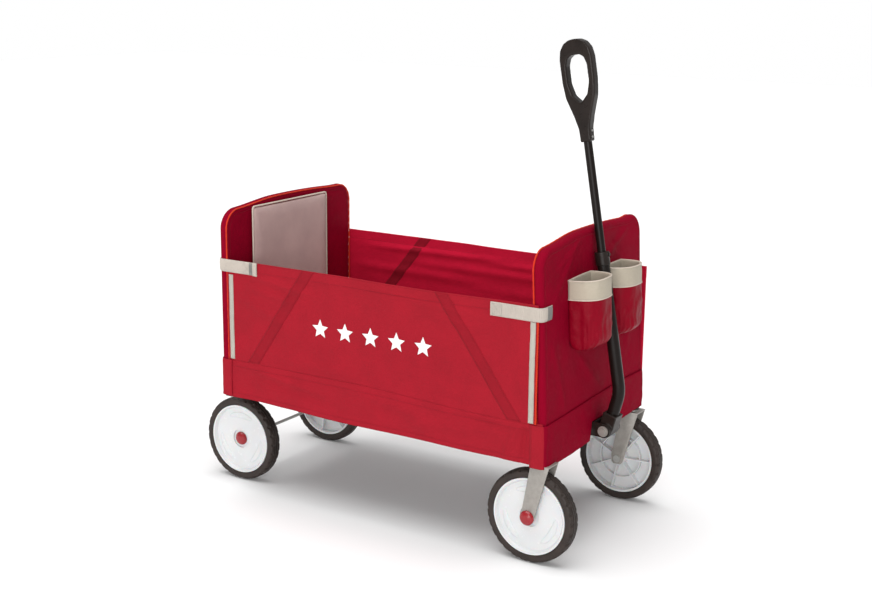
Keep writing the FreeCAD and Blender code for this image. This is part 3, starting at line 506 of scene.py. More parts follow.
# The far panel hangs in long level folds from its hem.
FAR_FOLDS = [
    (-0.33, 0.553, 0.05, 0.556, 8 * MM, -2.6 * MM), (-0.20, 0.523, 0.35, 0.519, 11 * MM, -2.4 * MM),
    (-0.38, 0.497, -0.02, 0.492, 12 * MM, -2.2 * MM), (0.05, 0.545, 0.42, 0.549, 8 * MM, -2.4 * MM),
    (0.02, 0.475, 0.40, 0.468, 14 * MM, -2.0 * MM), (-0.30, 0.452, 0.20, 0.447, 16 * MM, -1.5 * MM),
]


def seam_height(x):
    """The side seam sits a little higher at the rear and sags towards the front corner."""
    return SEAM_Z + 5 * MM - 13.5 * MM * smooth_step((x + 0.05) / 0.4)


def side_bulge(side, x, z):
    """How far the cloth of one side stands out from its plane, outward."""
    across = min(x - FLAP_REAR, FLAP_FRONT - x)
    calm = smooth_step(across / 0.05) * smooth_step((SIDE_TOP - z) / 0.03)
    slack = 1.1 * MM * soft_noise(x * 5, z * 14, 3.1 + side)
    slack += 0.6 * MM * soft_noise(x * 13, z * 38, 7.7 + side)
    folds = SIDE_FOLD_DEPTH * fold_lines(FLAP_FOLDS if side == RIGHT else FAR_FOLDS, x, z)
    hem = 0.7 * MM if z > SIDE_TOP - HEM else 0.0
    ease = smooth_step((z - SEAM_Z) / 0.02) if side == RIGHT else 1.0
    return (slack + folds) * calm * ease + hem


def top_sag(x):
    """How far the side's top edge stands above its CAD height; it dips in front of the middle."""
    return 1 * MM - 3 * MM * math.exp(-(((x - 0.12) / 0.13) ** 2)) + 0.8 * MM * soft_noise(x * 9, 0, 1.5)


def side_point(side, x, z, proud=0.0):
    y = SIDE_Y + side_bulge(side, x, z) + proud
    return (x, side * y, z)


def squashed(obj):
    """Gives the piece its own copy of its mesh."""
    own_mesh(obj)


def side_material(side):
    # The near side takes the red with painted sheen; the far side takes the brighter copy: painted light.
    return "red_fabric" if side == RIGHT else "far_fabric_painted_light"


def side_sheet(name, side, x_from, x_to, body, node):
    """One side's cloth from its seam to its hem."""
    def place(up, along):
        x = x_from + (x_to - x_from) * along
        bottom, top = seam_height(x) - 1.5 * MM, SIDE_TOP + top_sag(x)
        return side_point(side, x, bottom + (top - bottom) * up)
    grid = point_grid(72, round((x_to - x_from) / SIDE_STEP), place)
    sheet = make_sheet(name, grid, SIDE_THICK, body, side_material(side), flip=side == LEFT)
    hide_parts(node)
    return sheet


def away_from(side, inside):
    """The direction that one face of a side's cloth looks in."""
    return Vector((0, side * (-1 if inside else 1), 0))


def band_sheet(name, side, top_x, bottom_x, body, inside):
    """A doubled band sewn on the slant across the side, from the hem down to the seam."""
    def place(up, along):
        x = bottom_x + (top_x - bottom_x) * up + BAND_WIDE * (along - 0.5)
        bottom, top = seam_height(x) + 1.5 * MM, SIDE_TOP + top_sag(x) - 0.5 * MM
        edge_drop = 0.4 * MM if along in (0, 1) else 0.0
        rise = edge_drop - SIDE_THICK - BAND_THICK if inside else 0.7 * MM - edge_drop
        return side_point(side, x, bottom + (top - bottom) * up, rise)
    grid = point_grid(60, 9, place)
    sheet = make_sheet(name, grid, BAND_THICK, body, "near_band" if side == RIGHT else "band_fabric",
                       flip=(side == LEFT) != inside)
    threads = add_stitches(name + "_stitches", both_edges(grid), away_from(side, inside), body)
    return sheet, threads


# The x of each slanting band's middle at the hem and at the seam.
BANDS = {RIGHT: ((-0.163, -0.334), (0.205, 0.396)), LEFT: ((-0.165, -0.364), (0.220, 0.389))}


def make_side(side, body, node, x_from, x_to):
    """One side: its cloth, two slanting bands on each face and the stitches of its hem."""
    label = "near" if side == RIGHT else "far"
    panel = side_sheet(label + "_side_cloth", side, x_from, x_to, body, node)
    pieces = [panel]
    for number, (top_x, bottom_x) in enumerate(BANDS[side]):
        for inside in (False, True):
            name = f"{label}_band_{number}_{'inner' if inside else 'outer'}"
            sheet, threads = band_sheet(name, side, top_x, bottom_x, body, inside)
            pieces += [sheet, threads]
    span = np.linspace(x_from + 3 * MM, x_to - 3 * MM, 220)
    for inside in (False, True):
        rise = -2.3 * MM if inside else 0.1 * MM
        rows = [[side_point(side, x, SIDE_TOP + top_sag(x) - below, rise) for x in span]
                for below in (HEM - 2 * MM, 2.5 * MM)]
        pieces.append(add_stitches(f"{label}_hem_stitches_{'inner' if inside else 'outer'}", rows,
                                   away_from(side, inside), body))
    for piece in pieces:
        squashed(piece)


make_side(RIGHT, "side_flap", "side_flap_panel", FLAP_REAR, FLAP_FRONT)
make_side(LEFT, "rear_end", "left_side_panel", FLAP_REAR - 0.5 * MM, SIDE_FRONT)


# ---------------------------------------------------------------- end covers

CREASE_DEPTH = 2.4
# Creases of the covers' outer faces: y, height of both ends, half width, height before CREASE_DEPTH.
COVER_CREASES = {
    "front": [(-0.20, 0.30, -0.09, 0.41, 10 * MM, 1.2 * MM), (0.07, 0.36, 0.19, 0.42, 9 * MM, 1.6 * MM),
              (0.08, 0.39, 0.15, 0.35, 7 * MM, -1.2 * MM), (-0.21, 0.20, -0.16, 0.05, 12 * MM, 1.4 * MM),
              (-0.09, 0.16, 0.02, 0.05, 13 * MM, 1.3 * MM), (0.16, 0.12, 0.22, 0.30, 12 * MM, 1.2 * MM),
              (-0.18, 0.37, -0.05, 0.425, 6 * MM, 1.0 * MM)],
    "rear": [(-0.20, 0.27, -0.05, 0.20, 14 * MM, 1.2 * MM), (0.02, 0.34, 0.18, 0.38, 12 * MM, 1.2 * MM),
             (0.05, 0.12, 0.20, 0.08, 15 * MM, 1.4 * MM), (-0.22, 0.36, -0.12, 0.41, 9 * MM, 1.1 * MM)],
}


def panel_top(end, y):
    """Height of the crowned top edge above the panel's foot, inside its round corners."""
    level = end.half - END_CORNER
    return end.height - END_CROWN + END_CROWN * max(0.0, 1 - (y / level) ** 2)


def edge_distance(end, y, up):
    """How far a point of the end panel lies inside its outline."""
    beyond, above = abs(y) - (end.half - END_CORNER), up - (end.height - END_CROWN - END_CORNER)
    if beyond > 0 and above > 0:
        return max(0.0, END_CORNER - math.hypot(beyond, above))
    return max(0.0, min(end.half - abs(y), panel_top(end, y) - up))


def cover_out(end, y, up, outside):
    """How far one face of the sleeve stands from the middle plane: round at the rim, soft inside it."""
    near = edge_distance(end, y, up)
    if near < RIM_RADIUS:
        flat = END_HALF_THICK - RIM_RADIUS + math.sqrt(RIM_RADIUS ** 2 - (RIM_RADIUS - near) ** 2)
    else:
        flat = END_HALF_THICK
    calm = smooth_step((near - 6 * MM) / 0.03)
    creases = CREASE_DEPTH * fold_lines(COVER_CREASES[end.name], y, up) if outside else 0.0
    gather = math.exp(-(((near - 17 * MM) / (9 * MM)) ** 2)) * 0.7 * MM
    pulled = gather * soft_noise(y * 85, up * 40, 4.2) * smooth_step(near / (5 * MM))
    waves = 1.0 * MM * soft_noise(y * 7, up * 5, 2.2 + outside) + 0.4 * MM * soft_noise(y * 22, up * 16, 5.2)
    sunk = -1.2 * MM * math.exp(-(((near - 13 * MM) / (3 * MM)) ** 2))
    return flat + (creases + waves) * calm + pulled + sunk


def cover_rows(end):
    """(half width, height) pairs up the straight side and round the corner."""
    straight = end.height - END_CROWN - END_CORNER
    rows = [(end.half, straight * step / 84) for step in range(85)]
    for step in range(1, 21):
        turn = math.pi / 2 * step / 20
        rows.append((end.half - END_CORNER + END_CORNER * math.cos(turn),
                     straight + END_CORNER * math.sin(turn)))
    return rows


def cover_columns(half):
    """y values over a row, close together where the rim rounds over."""
    rim = [RIM_RADIUS * (1 - math.cos(math.pi / 2 * step / 6)) for step in range(7)]
    inner = np.linspace(-(half - RIM_RADIUS), half - RIM_RADIUS, 106)
    return [-(half - d) for d in rim[:-1]] + list(inner) + [half - d for d in reversed(rim[:-1])]


def end_cover(end):
    """The sleeve over one end's hoop and board: two faces joined round the rim."""
    grids = []
    for outside in (True, False):
        grid = []
        for half, up in cover_rows(end):
            line = []
            for y in cover_columns(half):
                level = smooth_step((up - (end.height - END_CROWN - END_CORNER)) / END_CORNER)
                raised = up + (panel_top(end, y) - (end.height - END_CROWN)) * level
                out = cover_out(end, y, raised, outside) * (1 if outside else -1)
                line.append(end.at(y, raised, out))
            grid.append(line)
        grids.append(grid)
    points = [point for grid in grids for line in grid for point in line]
    faces = shell_faces(len(grids[0]), len(grids[0][0]))
    # The sleeve takes the darker copy of the red cloth: painted shade.
    cover = add_piece(end.name + "_cover_cloth", points, faces, end.body, "end_fabric_painted_shade")
    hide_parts(end.name + "_cover")


def rim_path(end, inset, out, start=0.0):
    """Points round the panel's outline, inset from its edge, at one height out of its middle plane."""
    half, corner = end.half - inset, END_CORNER - inset
    straight = end.height - END_CROWN - END_CORNER
    side = [(half, start + (straight - start) * step / 60) for step in range(61)]
    bend = [(half - corner + corner * math.cos(turn), straight + corner * math.sin(turn))
            for turn in np.linspace(0, math.pi / 2, 14)[1:]]
    level = end.half - END_CORNER
    crown = [(y, panel_top(end, y) - inset) for y in np.linspace(level, -level, 60)[1:-1]]
    right = side + bend
    outline = right + crown + [(-y, up) for y, up in reversed(right)]
    return [end.at(y, up, out) for y, up in outline]


PIPING_RADIUS = 2.0 * MM
HOOP_RADIUS = 8.5 * MM
RIM_CLEARANCE = 2.2 * MM
STITCH_START = 45 * MM
for end in ENDS:
    end_cover(end)
    hoop_line = rim_path(end, HOOP_RADIUS + RIM_CLEARANCE, 0)
    tube = sweep(end.name + "_hoop_tube", hoop_line, HOOP_RADIUS, end.body, "frame_paint",
                 sides=16)
    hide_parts(end.name + "_hoop")
    seam = rim_path(end, RIM_CLEARANCE, -(END_HALF_THICK - 1.6 * MM))
    sweep(end.name + "_rim_piping", seam, PIPING_RADIUS, end.body, "piping", ripple=0.12)
    inner_row = rim_path(end, 14 * MM, -(END_HALF_THICK + 0.2 * MM), STITCH_START)
    add_stitches(end.name + "_rim_stitches", [inner_row], -end.out, end.body)
    outer_row = rim_path(end, 15 * MM, END_HALF_THICK - 0.4 * MM, STITCH_START)
    add_stitches(end.name + "_outer_rim_stitches", [outer_row], end.out, end.body)


# ---------------------------------------------------------------- skirts

SKIRT_ROWS = 26
SKIRT_FOLD_DEPTH = 1.6
# Folds of the skirts: x, z of both ends, half width, height outward before SKIRT_FOLD_DEPTH.
SKIRT_FOLDS = [
    (-0.36, 0.326, -0.14, 0.296, 9 * MM, 2.2 * MM), (-0.30, 0.300, -0.10, 0.272, 12 * MM, -2.0 * MM),
    (-0.05, 0.322, 0.18, 0.288, 12 * MM, 1.8 * MM), (0.12, 0.268, 0.34, 0.292, 13 * MM, 2.2 * MM),
    (0.24, 0.318, 0.40, 0.296, 9 * MM, -1.8 * MM), (0.405, 0.312, 0.375, 0.243, 8 * MM, 3.0 * MM),
    (0.424, 0.315, 0.418, 0.240, 6 * MM, -3.0 * MM),
]


def skirt_bottom(x):
    """The lower hem hangs lowest at the front corner and waves a little."""
    fall = 7 * smooth_step((x + 0.36) / 0.32) + 3 * smooth_step(x / 0.42)
    return SKIRT_LOW + (4.5 - fall + 1.3 * soft_noise(x * 11, 0, 8.4)) * MM


def skirt_out(x, share, seed):
    """The skirt stands out softly towards its hem, with slack folds by the corners."""
    wave = 3.0 * MM * soft_noise(x * 9, share * 1.6 + x * 3, seed)
    wave += 0.8 * MM * soft_noise(x * 30, share * 2, seed + 4)
    hang = (1 - share) ** 1.3
    near_front = math.exp(-(((x - SIDE_FRONT + 0.05) / 0.06) ** 2))
    folds = near_front * 5.5 * MM * soft_noise(x * 34, share * 1.6, seed + 9) * (0.35 + 0.65 * hang)
    tuck = -4.2 * MM * (1 - smooth_step((1.0 - share) / 0.09))
    return (wave * (0.3 + hang) + folds) * smooth_step((1.0 - share) / 0.2) + 1.3 * MM + tuck


def side_skirt(side, node):
    """The skirt below one side, from end to end."""
    label = "near" if side == RIGHT else "far"
    x_from, x_to = low(node).x - 5 * MM, high(node).x - 4 * MM

    def place(share, along):
        x = x_from + (x_to - x_from) * along
        bottom, top = skirt_bottom(x), seam_height(x) + 4 * MM
        z = bottom + (top - bottom) * share
        folds = SKIRT_FOLD_DEPTH * fold_lines(SKIRT_FOLDS, x, z) * smooth_step((1 - share) / 0.25)
        return (x, side * (SIDE_Y + skirt_out(x, share, 9.3 + side) + folds), z)
    grid = point_grid(SKIRT_ROWS, round((x_to - x_from) / SIDE_STEP), place)
    skirt = make_sheet(label + "_skirt_cloth", grid, CLOTH, "rear_end", side_material(side),
                       flip=side == LEFT)
    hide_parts(node)
    outward = away_from(side, False)
    paths = [[Vector(point) + outward * 0.1 * MM for point in grid[row]] for row in (SKIRT_ROWS - 5, 3)]
    threads = add_stitches(label + "_skirt_stitches", paths, outward, "rear_end")
    squashed(skirt)
    squashed(threads)


for side, node in ((RIGHT, "right_skirt"), (LEFT, "left_skirt")):
    side_skirt(side, node)


NOTCH_HALF = 33 * MM
NOTCH_TOP = high("handle_bracket").z + 2 * MM
CORNER_BEND = 13 * MM
RETURN = 24 * MM


def end_skirt_edges(end, y):
    """Heights of the hem and the seam of an end's skirt, lower at the wagon's right front corner."""
    tilt = math.sin(math.pi / 2 * max(-1.0, min(1.0, y / 0.2)))
    wave = 1.0 * MM * soft_noise(y * 12, 0, 6.1)
    if end is REAR:
        return SKIRT_LOW + (5 - 1.5 * tilt) * MM + wave, SEAM_Z + 4 * MM
    arch = 5 * math.cos(math.pi * y / 0.52)
    return SKIRT_LOW + (7.6 * tilt - 2.7) * MM + wave, SEAM_Z + (4.5 * tilt + arch - 4.4) * MM


def end_skirt(end):
    """The skirt of one end: across its face and round both corners onto the sides."""
    face_y = SIDE_Y + 1.0 * MM
    face_out = END_HALF_THICK + 1.2 * MM
    straight = face_y - CORNER_BEND
    plan = [(-face_y, -RETURN * step / 3) for step in range(3, 0, -1)]
    plan += [(-straight - CORNER_BEND * math.cos(turn), CORNER_BEND * math.sin(turn))
             for turn in np.linspace(0, math.pi / 2, 8)[:-1]]
    corner_points = len(plan)
    plan += [(y, CORNER_BEND) for y in np.linspace(-straight, straight, 125)]
    plan += [(-y, depth) for y, depth in reversed(plan[:corner_points])]
    grid = []
    for share in np.linspace(0, 1, SKIRT_ROWS + 1):
        line = []
        for y, depth in plan:
            notch = smooth_step((NOTCH_HALF + 6 * MM - abs(y)) / (8 * MM)) if end is FRONT else 0.0
            bottom, top = end_skirt_edges(end, y)
            bottom += (NOTCH_TOP - bottom) * notch
            z = bottom + (top - bottom) * share
            up = max(0.0, z - PANEL_FOOT)
            base = end.at(y, up, face_out)
            hang = (1 - share) ** 1.2
            wave = 1.5 * MM * soft_noise(y * 9, share, 3.9) * (0.4 + hang)
            wave += 1.2 * MM * smooth_step((1 - share) / 0.08)
            wave += 1.0 * MM * soft_noise(y * 33, share * 2, 1.9) * hang
            by_corner = abs(y) - straight
            if end is FRONT and y < 0:
                pinch = math.exp(-((by_corner / 0.007) ** 2)) * smooth_step((share - 0.06) / 0.3)
                wave -= 3.0 * MM * pinch * (1 - share)
            puff = 2.5 * MM * math.exp(-((by_corner / 0.02) ** 2)) * hang * soft_noise(y * 40, share * 4, 2.7)
            x = base.x + end.outward * (depth - CORNER_BEND + wave + puff)
            widen = wave * (1 - min(1.0, max(0.0, depth / CORNER_BEND)))
            line.append((x, y + math.copysign(widen, y), z))
        grid.append(line)
    skirt = make_sheet(end.name + "_skirt_cloth", grid, CLOTH, end.body, "end_fabric_painted_shade",
                       flip=end is FRONT)
    skirt.data.materials.append(MATERIALS["red_fabric"])
    skirt.data.materials.append(MATERIALS["far_fabric_painted_light"])
    # The returns round the corners take the cloth of the sides that they lie on, chosen by which way each
    # face turns: the near red with its painted sheen, the brighter far copy with painted light, and the
    # darker end copy with painted shade for the rest.
    for face in skirt.data.polygons:
        face.material_index = 1 if face.normal.y < -0.7 else 2 if face.normal.y > 0.7 else 0
    step = Vector((end.outward * 0.1 * MM, 0, 0))
    paths = [[Vector(point) + step for point in grid[row][corner_points:-corner_points]]
             for row in (SKIRT_ROWS - 2, 3)]
    add_stitches(end.name + "_skirt_stitches", paths, Vector((end.outward, 0, 0)), end.body)


for end in ENDS:
    end_skirt(end)


GUSSET_HALF = 200 * MM
HINGE_Z = (low("rear_floor_brackets").z + high("rear_floor_brackets").z) / 2


def floor_gusset(end, face_x, edge_x):
    """Slack cloth that closes the gap between an end panel and the folding floor."""
    def place(share, along):
        y = GUSSET_HALF * (2 * along - 1)
        ripple = 1.5 * MM * soft_noise(y * 30, share * 2, 5.5)
        sag = 9 * MM * math.sin(math.pi * share) * (1 + 0.2 * soft_noise(y * 8, 0, 6.6))
        return (face_x + (edge_x - face_x) * share, y, HINGE_Z - 4 * MM - sag + ripple)
    # The gusset takes the darker copy of the red cloth: painted shade.
    gusset = make_sheet(end.name + "_floor_gusset", point_grid(10, 80, place), CLOTH, end.body, "end_fabric_painted_shade",
                        flip=end is FRONT)


floor_gusset(REAR, low("rear_board").x + END_HALF_THICK + 3 * MM, low("rear_floor_seat_pad").x - 3 * MM)
floor_gusset(FRONT, STEM_X - END_HALF_THICK - 3 * MM, high("front_floor_seat_pad").x + 3 * MM)


# ---------------------------------------------------------------- zips and straps of the near flap

def near_face(x, z, proud):
    """A point on the near flap's outer face, or this far off it."""
    return Vector(side_point(RIGHT, x, z, proud))


NEAR_OUTWARD = away_from(RIGHT, False)
ZIP_WIDE = 13 * MM
ZIP_INSET = 5 * MM
ZIP_HEAD = high("side_flap_zips").z


def zip_tape(label, x_middle, seed):
    """Grey tape with wavy edges down one end of the flap, and its two rows of stitches."""
    foot = seam_height(x_middle) + 2.5 * MM

    def place(up, along):
        z = foot + (ZIP_HEAD - foot) * up
        drift = 0.7 * MM * soft_noise(z * 22, 1.3, seed)
        half = ZIP_WIDE / 2 + 0.5 * MM * soft_noise(z * 60, 2.2, seed)
        rise = 1.1 * MM + 0.35 * MM * math.cos((2 * along - 1) * math.pi)
        return near_face(x_middle + drift + half * (2 * along - 1), z, rise)
    grid = point_grid(80, 8, place)
    edges = [[point + NEAR_OUTWARD * 0.2 * MM for point in edge] for edge in both_edges(grid)]
    tape = make_sheet(label + "_zip_tape", grid, 0.9 * MM, "side_flap", "zip_tape")
    threads = add_stitches(label + "_zip_stitches", edges, NEAR_OUTWARD, "side_flap", "pale_thread",
                           proud=0.3 * MM)
    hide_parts("side_flap_zips")
    squashed(tape)
    squashed(threads)


zip_tape("rear", FLAP_REAR + ZIP_WIDE / 2 + ZIP_INSET, 1)
zip_tape("front", FLAP_FRONT - ZIP_WIDE / 2 - ZIP_INSET, -1)

STRAP_TALL = 31 * MM
STRAP_FRONT_Z = 570 * MM
STRAP_REAR_Z = 575 * MM
STRAP_REAR_START = -316 * MM
STRAP_FRONT_START = low("side_flap_straps").x + 772 * MM
STRAP_THICK = 2.2 * MM
STRAP_BEND = 14 * MM
STRAP_RIB = 4.2 * MM
STRAP_Y = -low("side_flap_straps").y + 0.6 * MM


def edge_teeth():
    """The zip's orange-red teeth along the flap's front edge."""
    edge_x = FLAP_FRONT + 0.5 * MM
    heights = np.linspace(seam_height(edge_x) + 2 * MM, STRAP_FRONT_Z - STRAP_TALL / 2, 160)
    cord = [near_face(edge_x + 0.5 * MM * math.sin(z * 900), z, 0.8 * MM) for z in heights]
    squashed(sweep("front_edge_teeth", cord, 2.0 * MM, "side_flap", "piping", ripple=0.2))


edge_teeth()


def corner_path(end, z, x_from, proud=0.0):
    """Points from x_from along the near side, round the end's corner and onto its outer face."""
    face = end.at(0, (z - PANEL_FOOT) / end.up.z, END_HALF_THICK + 3.2 * MM + proud)
    corner_x = face.x
    bend = STRAP_BEND + proud
    start_round = corner_x - end.outward * bend
    side_y = STRAP_Y + proud
    path = [Vector((x, -side_y, z)) for x in np.linspace(x_from, start_round, 40)]
    for turn in np.linspace(0, math.pi / 2, 14)[1:]:
        path.append(Vector((start_round + end.outward * bend * math.sin(turn),
                            -side_y + bend * (1 - math.cos(turn)), z)))
    for y in np.linspace(-side_y + bend, high("side_flap_straps").y, 12)[1:]:
        path.append(Vector((corner_x, y, z)))
    return path


def webbing_strap(name, end, x_from, z_middle, tall, proud=0.0, material="webbing", thick=STRAP_THICK,
                  share=(0.0, 1.0)):
    """Ribbed webbing laid round the corner; share cuts out part of its length."""
    whole, spots = resampled(corner_path(end, z_middle, x_from, proud), STRAP_RIB / 4)
    first, last = round(share[0] * (len(whole) - 1)), round(share[1] * (len(whole) - 1))
    path = whole[first:last + 1]
    rows = 10
    outs = []
    for index in range(len(path)):
        along = path[min(index + 1, len(path) - 1)] - path[max(index - 1, 0)]
        outs.append(Vector((0, 0, 1)).cross(along).normalized() * -end.outward)
    grid = []
    for row in range(rows + 1):
        height = row / rows - 0.5
        line = []
        for index, (point, out) in enumerate(zip(path, outs)):
            spot = spots[first + index]
            rib = 0.9 * MM * math.sin(2 * math.pi * spot / STRAP_RIB) * (1 - abs(2 * height) ** 6)
            cup = -0.8 * MM * (2 * height) ** 4 + 0.5 * MM * soft_noise(spot * 30, height, 4.4)
            wave = 0.5 * MM * soft_noise(spot * 18, 0, 2.9)
            line.append(point + out * (rib + cup) + Vector((0, 0, height * tall + wave)))
        grid.append(line)
    strap = make_sheet(name, grid, thick, "side_flap", material, flip=end is REAR)
    squashed(strap)
    return strap, path, outs


def strap_stitches(name, path, outs, share):
    """A sewn box with a cross over part of a strap."""
    first, last = [round(part * (len(path) - 1)) for part in share]
    lift = 0.7 * MM
    half = STRAP_TALL / 2 - 3 * MM

    def spot(index, step):
        return path[index] + outs[index] * lift + Vector((0, 0, step * half))
    rows = [[spot(index, step) for index in range(first, last + 1)] for step in (-1, 1)]
    ends = [[spot(index, step) for step in (-1, 0, 1)] for index in (first, last)]
    cross = [[rows[0][0], rows[1][-1]], [rows[1][0], rows[0][-1]]]
    threads = add_stitches(name, rows + ends + cross, NEAR_OUTWARD, "side_flap", "pale_thread",
                           pitch=3.4 * MM, long=2.4 * MM, wide=0.6 * MM, proud=0.4 * MM)
    squashed(threads)


def flap_strap(end, x_from, z_middle, stitched, shaded_tail):
    """A strap round one corner, with its sewn box and a darker tape over the two given shares of its length;
    the darker tape stands in for the shadow of a fold at the strap's tail: painted shade.
    """
    strap, path, outs = webbing_strap(end.name + "_strap", end, x_from, z_middle, STRAP_TALL)
    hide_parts("side_flap_straps")
    strap_stitches(end.name + "_strap_stitches", path, outs, stitched)
    if end is REAR:
        webbing_strap("rear_strap_keeper", end, x_from, z_middle, STRAP_TALL + 2 * MM, 1.6 * MM, "webbing",
                      1.5 * MM, (0.0, 0.078))
    # The darker tape at the tail: painted shade of a fold.
    webbing_strap(end.name + "_tail_shade_patch", end, x_from, z_middle, STRAP_TALL - 2 * MM, 1.3 * MM, "tail_patch_painted_shade",
                  1.4 * MM, shaded_tail)


flap_strap(FRONT, STRAP_FRONT_START, STRAP_FRONT_Z, (0.03, 0.17), (0.86, 0.985))
flap_strap(REAR, STRAP_REAR_START, STRAP_REAR_Z, (0.12, 0.26), (0.075, 0.145))


# ---------------------------------------------------------------- drink pockets

POCKET_MIDDLE, POCKET_HALF = 80 * MM, 54 * MM
POCKET_DEPTH, POCKET_SQUARE = 68 * MM, 0.72
POCKET_FOOT = low("left_pocket").z - PANEL_FOOT
POCKET_TOP = high("left_pocket").z - PANEL_FOOT
POCKET_BAND = 45 * MM
POCKET_WALL = 2.2 * MM
POCKET_BELLY = 30 * MM
POCKET_STEPS = 111
SIDE_LABEL = {LEFT: "left", RIGHT: "right"}


def pocket_ring(grow, depth_share=1.0, wobble=None):
    """(across, out) round a pocket's plan, grown outward; across runs from the pocket's middle."""
    half, depth = POCKET_HALF + grow, POCKET_DEPTH * depth_share + grow
    back = 0.4 * MM - min(0.0, grow)
    plan = []
    for turn in np.linspace(0, math.pi, POCKET_STEPS):
        across, out = math.cos(turn), math.sin(turn)
        plan.append((math.copysign(half * abs(across) ** POCKET_SQUARE, across),
                     back + (depth - back) * max(0.0, out) ** POCKET_SQUARE))
    plan += [(across, back) for across in np.linspace(-half, half, 40)[1:-1]]
    if wobble:
        middle = Vector((0, depth / 2))
        moved = []
        for index, (across, out) in enumerate(plan):
            away = (Vector((across, out)) - middle).normalized()
            free = smooth_step((out - back) / 0.012)
            shift = wobble(index / len(plan)) * free
            moved.append((across + away.x * shift, out + away.y * shift))
        plan = moved
    return plan


def pocket_loft(name, side, profile, body_material, closed_profile=False):
    """Rings through (grow, height above the foot, depth share, pleat depth) steps, capped unless closed."""
    points = []
    centre = side * POCKET_MIDDLE
    for grow, up, depth_share, pleat in profile:
        def wobble(turn):
            waves = math.sin(turn * 2 * math.pi * 19 + 2.2 * soft_noise(turn * 7, up * 6, 3.0 + side))
            broad = soft_noise(turn * 11, up * 30, 8.0 + side) + 0.6 * soft_noise(turn * 24, up * 55, 4.0)
            return pleat * waves + 3.0 * MM * broad * min(1.0, pleat / (0.2 * MM) + 0.35)
        for across, out in pocket_ring(grow, depth_share, wobble):
            points.append(FRONT.at(centre + across, up, END_HALF_THICK + out))
    faces = tube_faces(len(profile), len(points) // len(profile), closed_profile)
    return add_piece(name, points, faces, "front_end", body_material)


def belly(share):
    """How far in and how deep the pocket is at this share of its rounded foot."""
    turn = math.pi / 2 * share
    return POCKET_BELLY * (1 - math.sin(turn)), POCKET_BELLY * (1 - math.cos(turn))


def drink_pocket(side):
    """A gathered pocket with a rounded foot, open at the top."""
    label = SIDE_LABEL[side]
    height = POCKET_TOP - POCKET_FOOT
    outer = []
    for share in np.linspace(0, 1, 12):
        shrink, rise = belly(share)
        depth = max(0.22, 1 - shrink / POCKET_DEPTH * 1.15)
        outer.append((-shrink * 0.55, POCKET_FOOT + rise, depth, 0.45 * MM * (0.35 + 0.65 * share)))
    for share in np.linspace(0.03, 1, 30):
        up = POCKET_FOOT + POCKET_BELLY + (height - POCKET_BELLY) * share
        bulge = 2.0 * MM * math.sin(math.pi * share) * (1 - share)
        pleat = 0.45 * MM * max(0.0, 1 - share * 1.6) ** 1.4
        outer.append((bulge, up, 1.0, pleat))
    inner = []
    for grow, up, depth, pleat in reversed(outer):
        floor_gap = POCKET_WALL * smooth_step(1 - (up - POCKET_FOOT) / (2 * POCKET_BELLY))
        inner.append((grow - POCKET_WALL, up + floor_gap, depth, pleat))
    pocket = pocket_loft(label + "_pocket_cloth", side, outer + inner, "nylon")
    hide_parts(label + "_pocket")


def pocket_band(side):
    """Light cloth folded over the pocket's mouth, with a rolled bead along both edges."""
    label = SIDE_LABEL[side]
    head, foot = POCKET_TOP, POCKET_TOP - POCKET_BAND
    outside = [(0.3 * MM, foot)] + [(1.5 * MM, foot + POCKET_BAND * s) for s in np.linspace(0.02, 0.99, 12)]
    inside = [(-POCKET_WALL - 1.1 * MM, head - POCKET_BAND * s) for s in np.linspace(0.01, 0.98, 12)]
    profile = outside + [(1.0 * MM, head + 1.0 * MM), (-POCKET_WALL - 0.6 * MM, head + 1.0 * MM)] + inside
    profile += [(-POCKET_WALL - 0.1 * MM, foot)]
    profile += [(-POCKET_WALL - 0.1 * MM, head - 1.5 * MM), (0.3 * MM, head - 1.5 * MM)]
    steps = [(grow, up, 1.0, 0.0) for grow, up in profile]
    band = pocket_loft(label + "_pocket_band", side, steps, "beige_tape", closed_profile=True)
    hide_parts("pocket_bands")

    def band_line(up):
        return [FRONT.at(side * POCKET_MIDDLE + across, up, END_HALF_THICK + out)
                for across, out in pocket_ring(1.6 * MM)]
    for number, up in enumerate((foot + 1.5 * MM, head + 0.6 * MM)):
        sweep(f"{label}_pocket_bead_{number}", band_line(up), 1.25 * MM, "front_end", "welt",
              closed=True)
    rows = [band_line(up)[2:POCKET_STEPS - 2] for up in (foot + 5 * MM, head - 4 * MM)]

    def outward(point):
        away = point - FRONT.at(side * POCKET_MIDDLE, point.z - PANEL_FOOT, END_HALF_THICK + POCKET_DEPTH / 2)
        away.z = 0
        return away.normalized()
    add_stitches(label + "_pocket_band_stitches", rows, outward, "front_end", "pale_thread", proud=0.3 * MM)


for side in (LEFT, RIGHT):
    drink_pocket(side)
    pocket_band(side)


# ---------------------------------------------------------------- pads

PAD_CAP = 3.5 * MM
PAD_VOXEL = 5.5 * MM
PAD_FRAMES = 20
PAD_SHRINK = 1.8 * MM
GROOVE_DEPTH, GROOVE_HALF = 2.6 * MM, 4 * MM


def applied_mesh(obj):
    """A new mesh: the object's own with its modifiers applied, which are then cleared."""
    depsgraph = bpy.context.evaluated_depsgraph_get()
    mesh = bpy.data.meshes.new_from_object(obj.evaluated_get(depsgraph))
    obj.modifiers.clear()
    return mesh


def add_voxels(obj, size):
    remesh = obj.modifiers.new("voxels", "REMESH")
    remesh.mode = "VOXEL"
    remesh.voxel_size = size


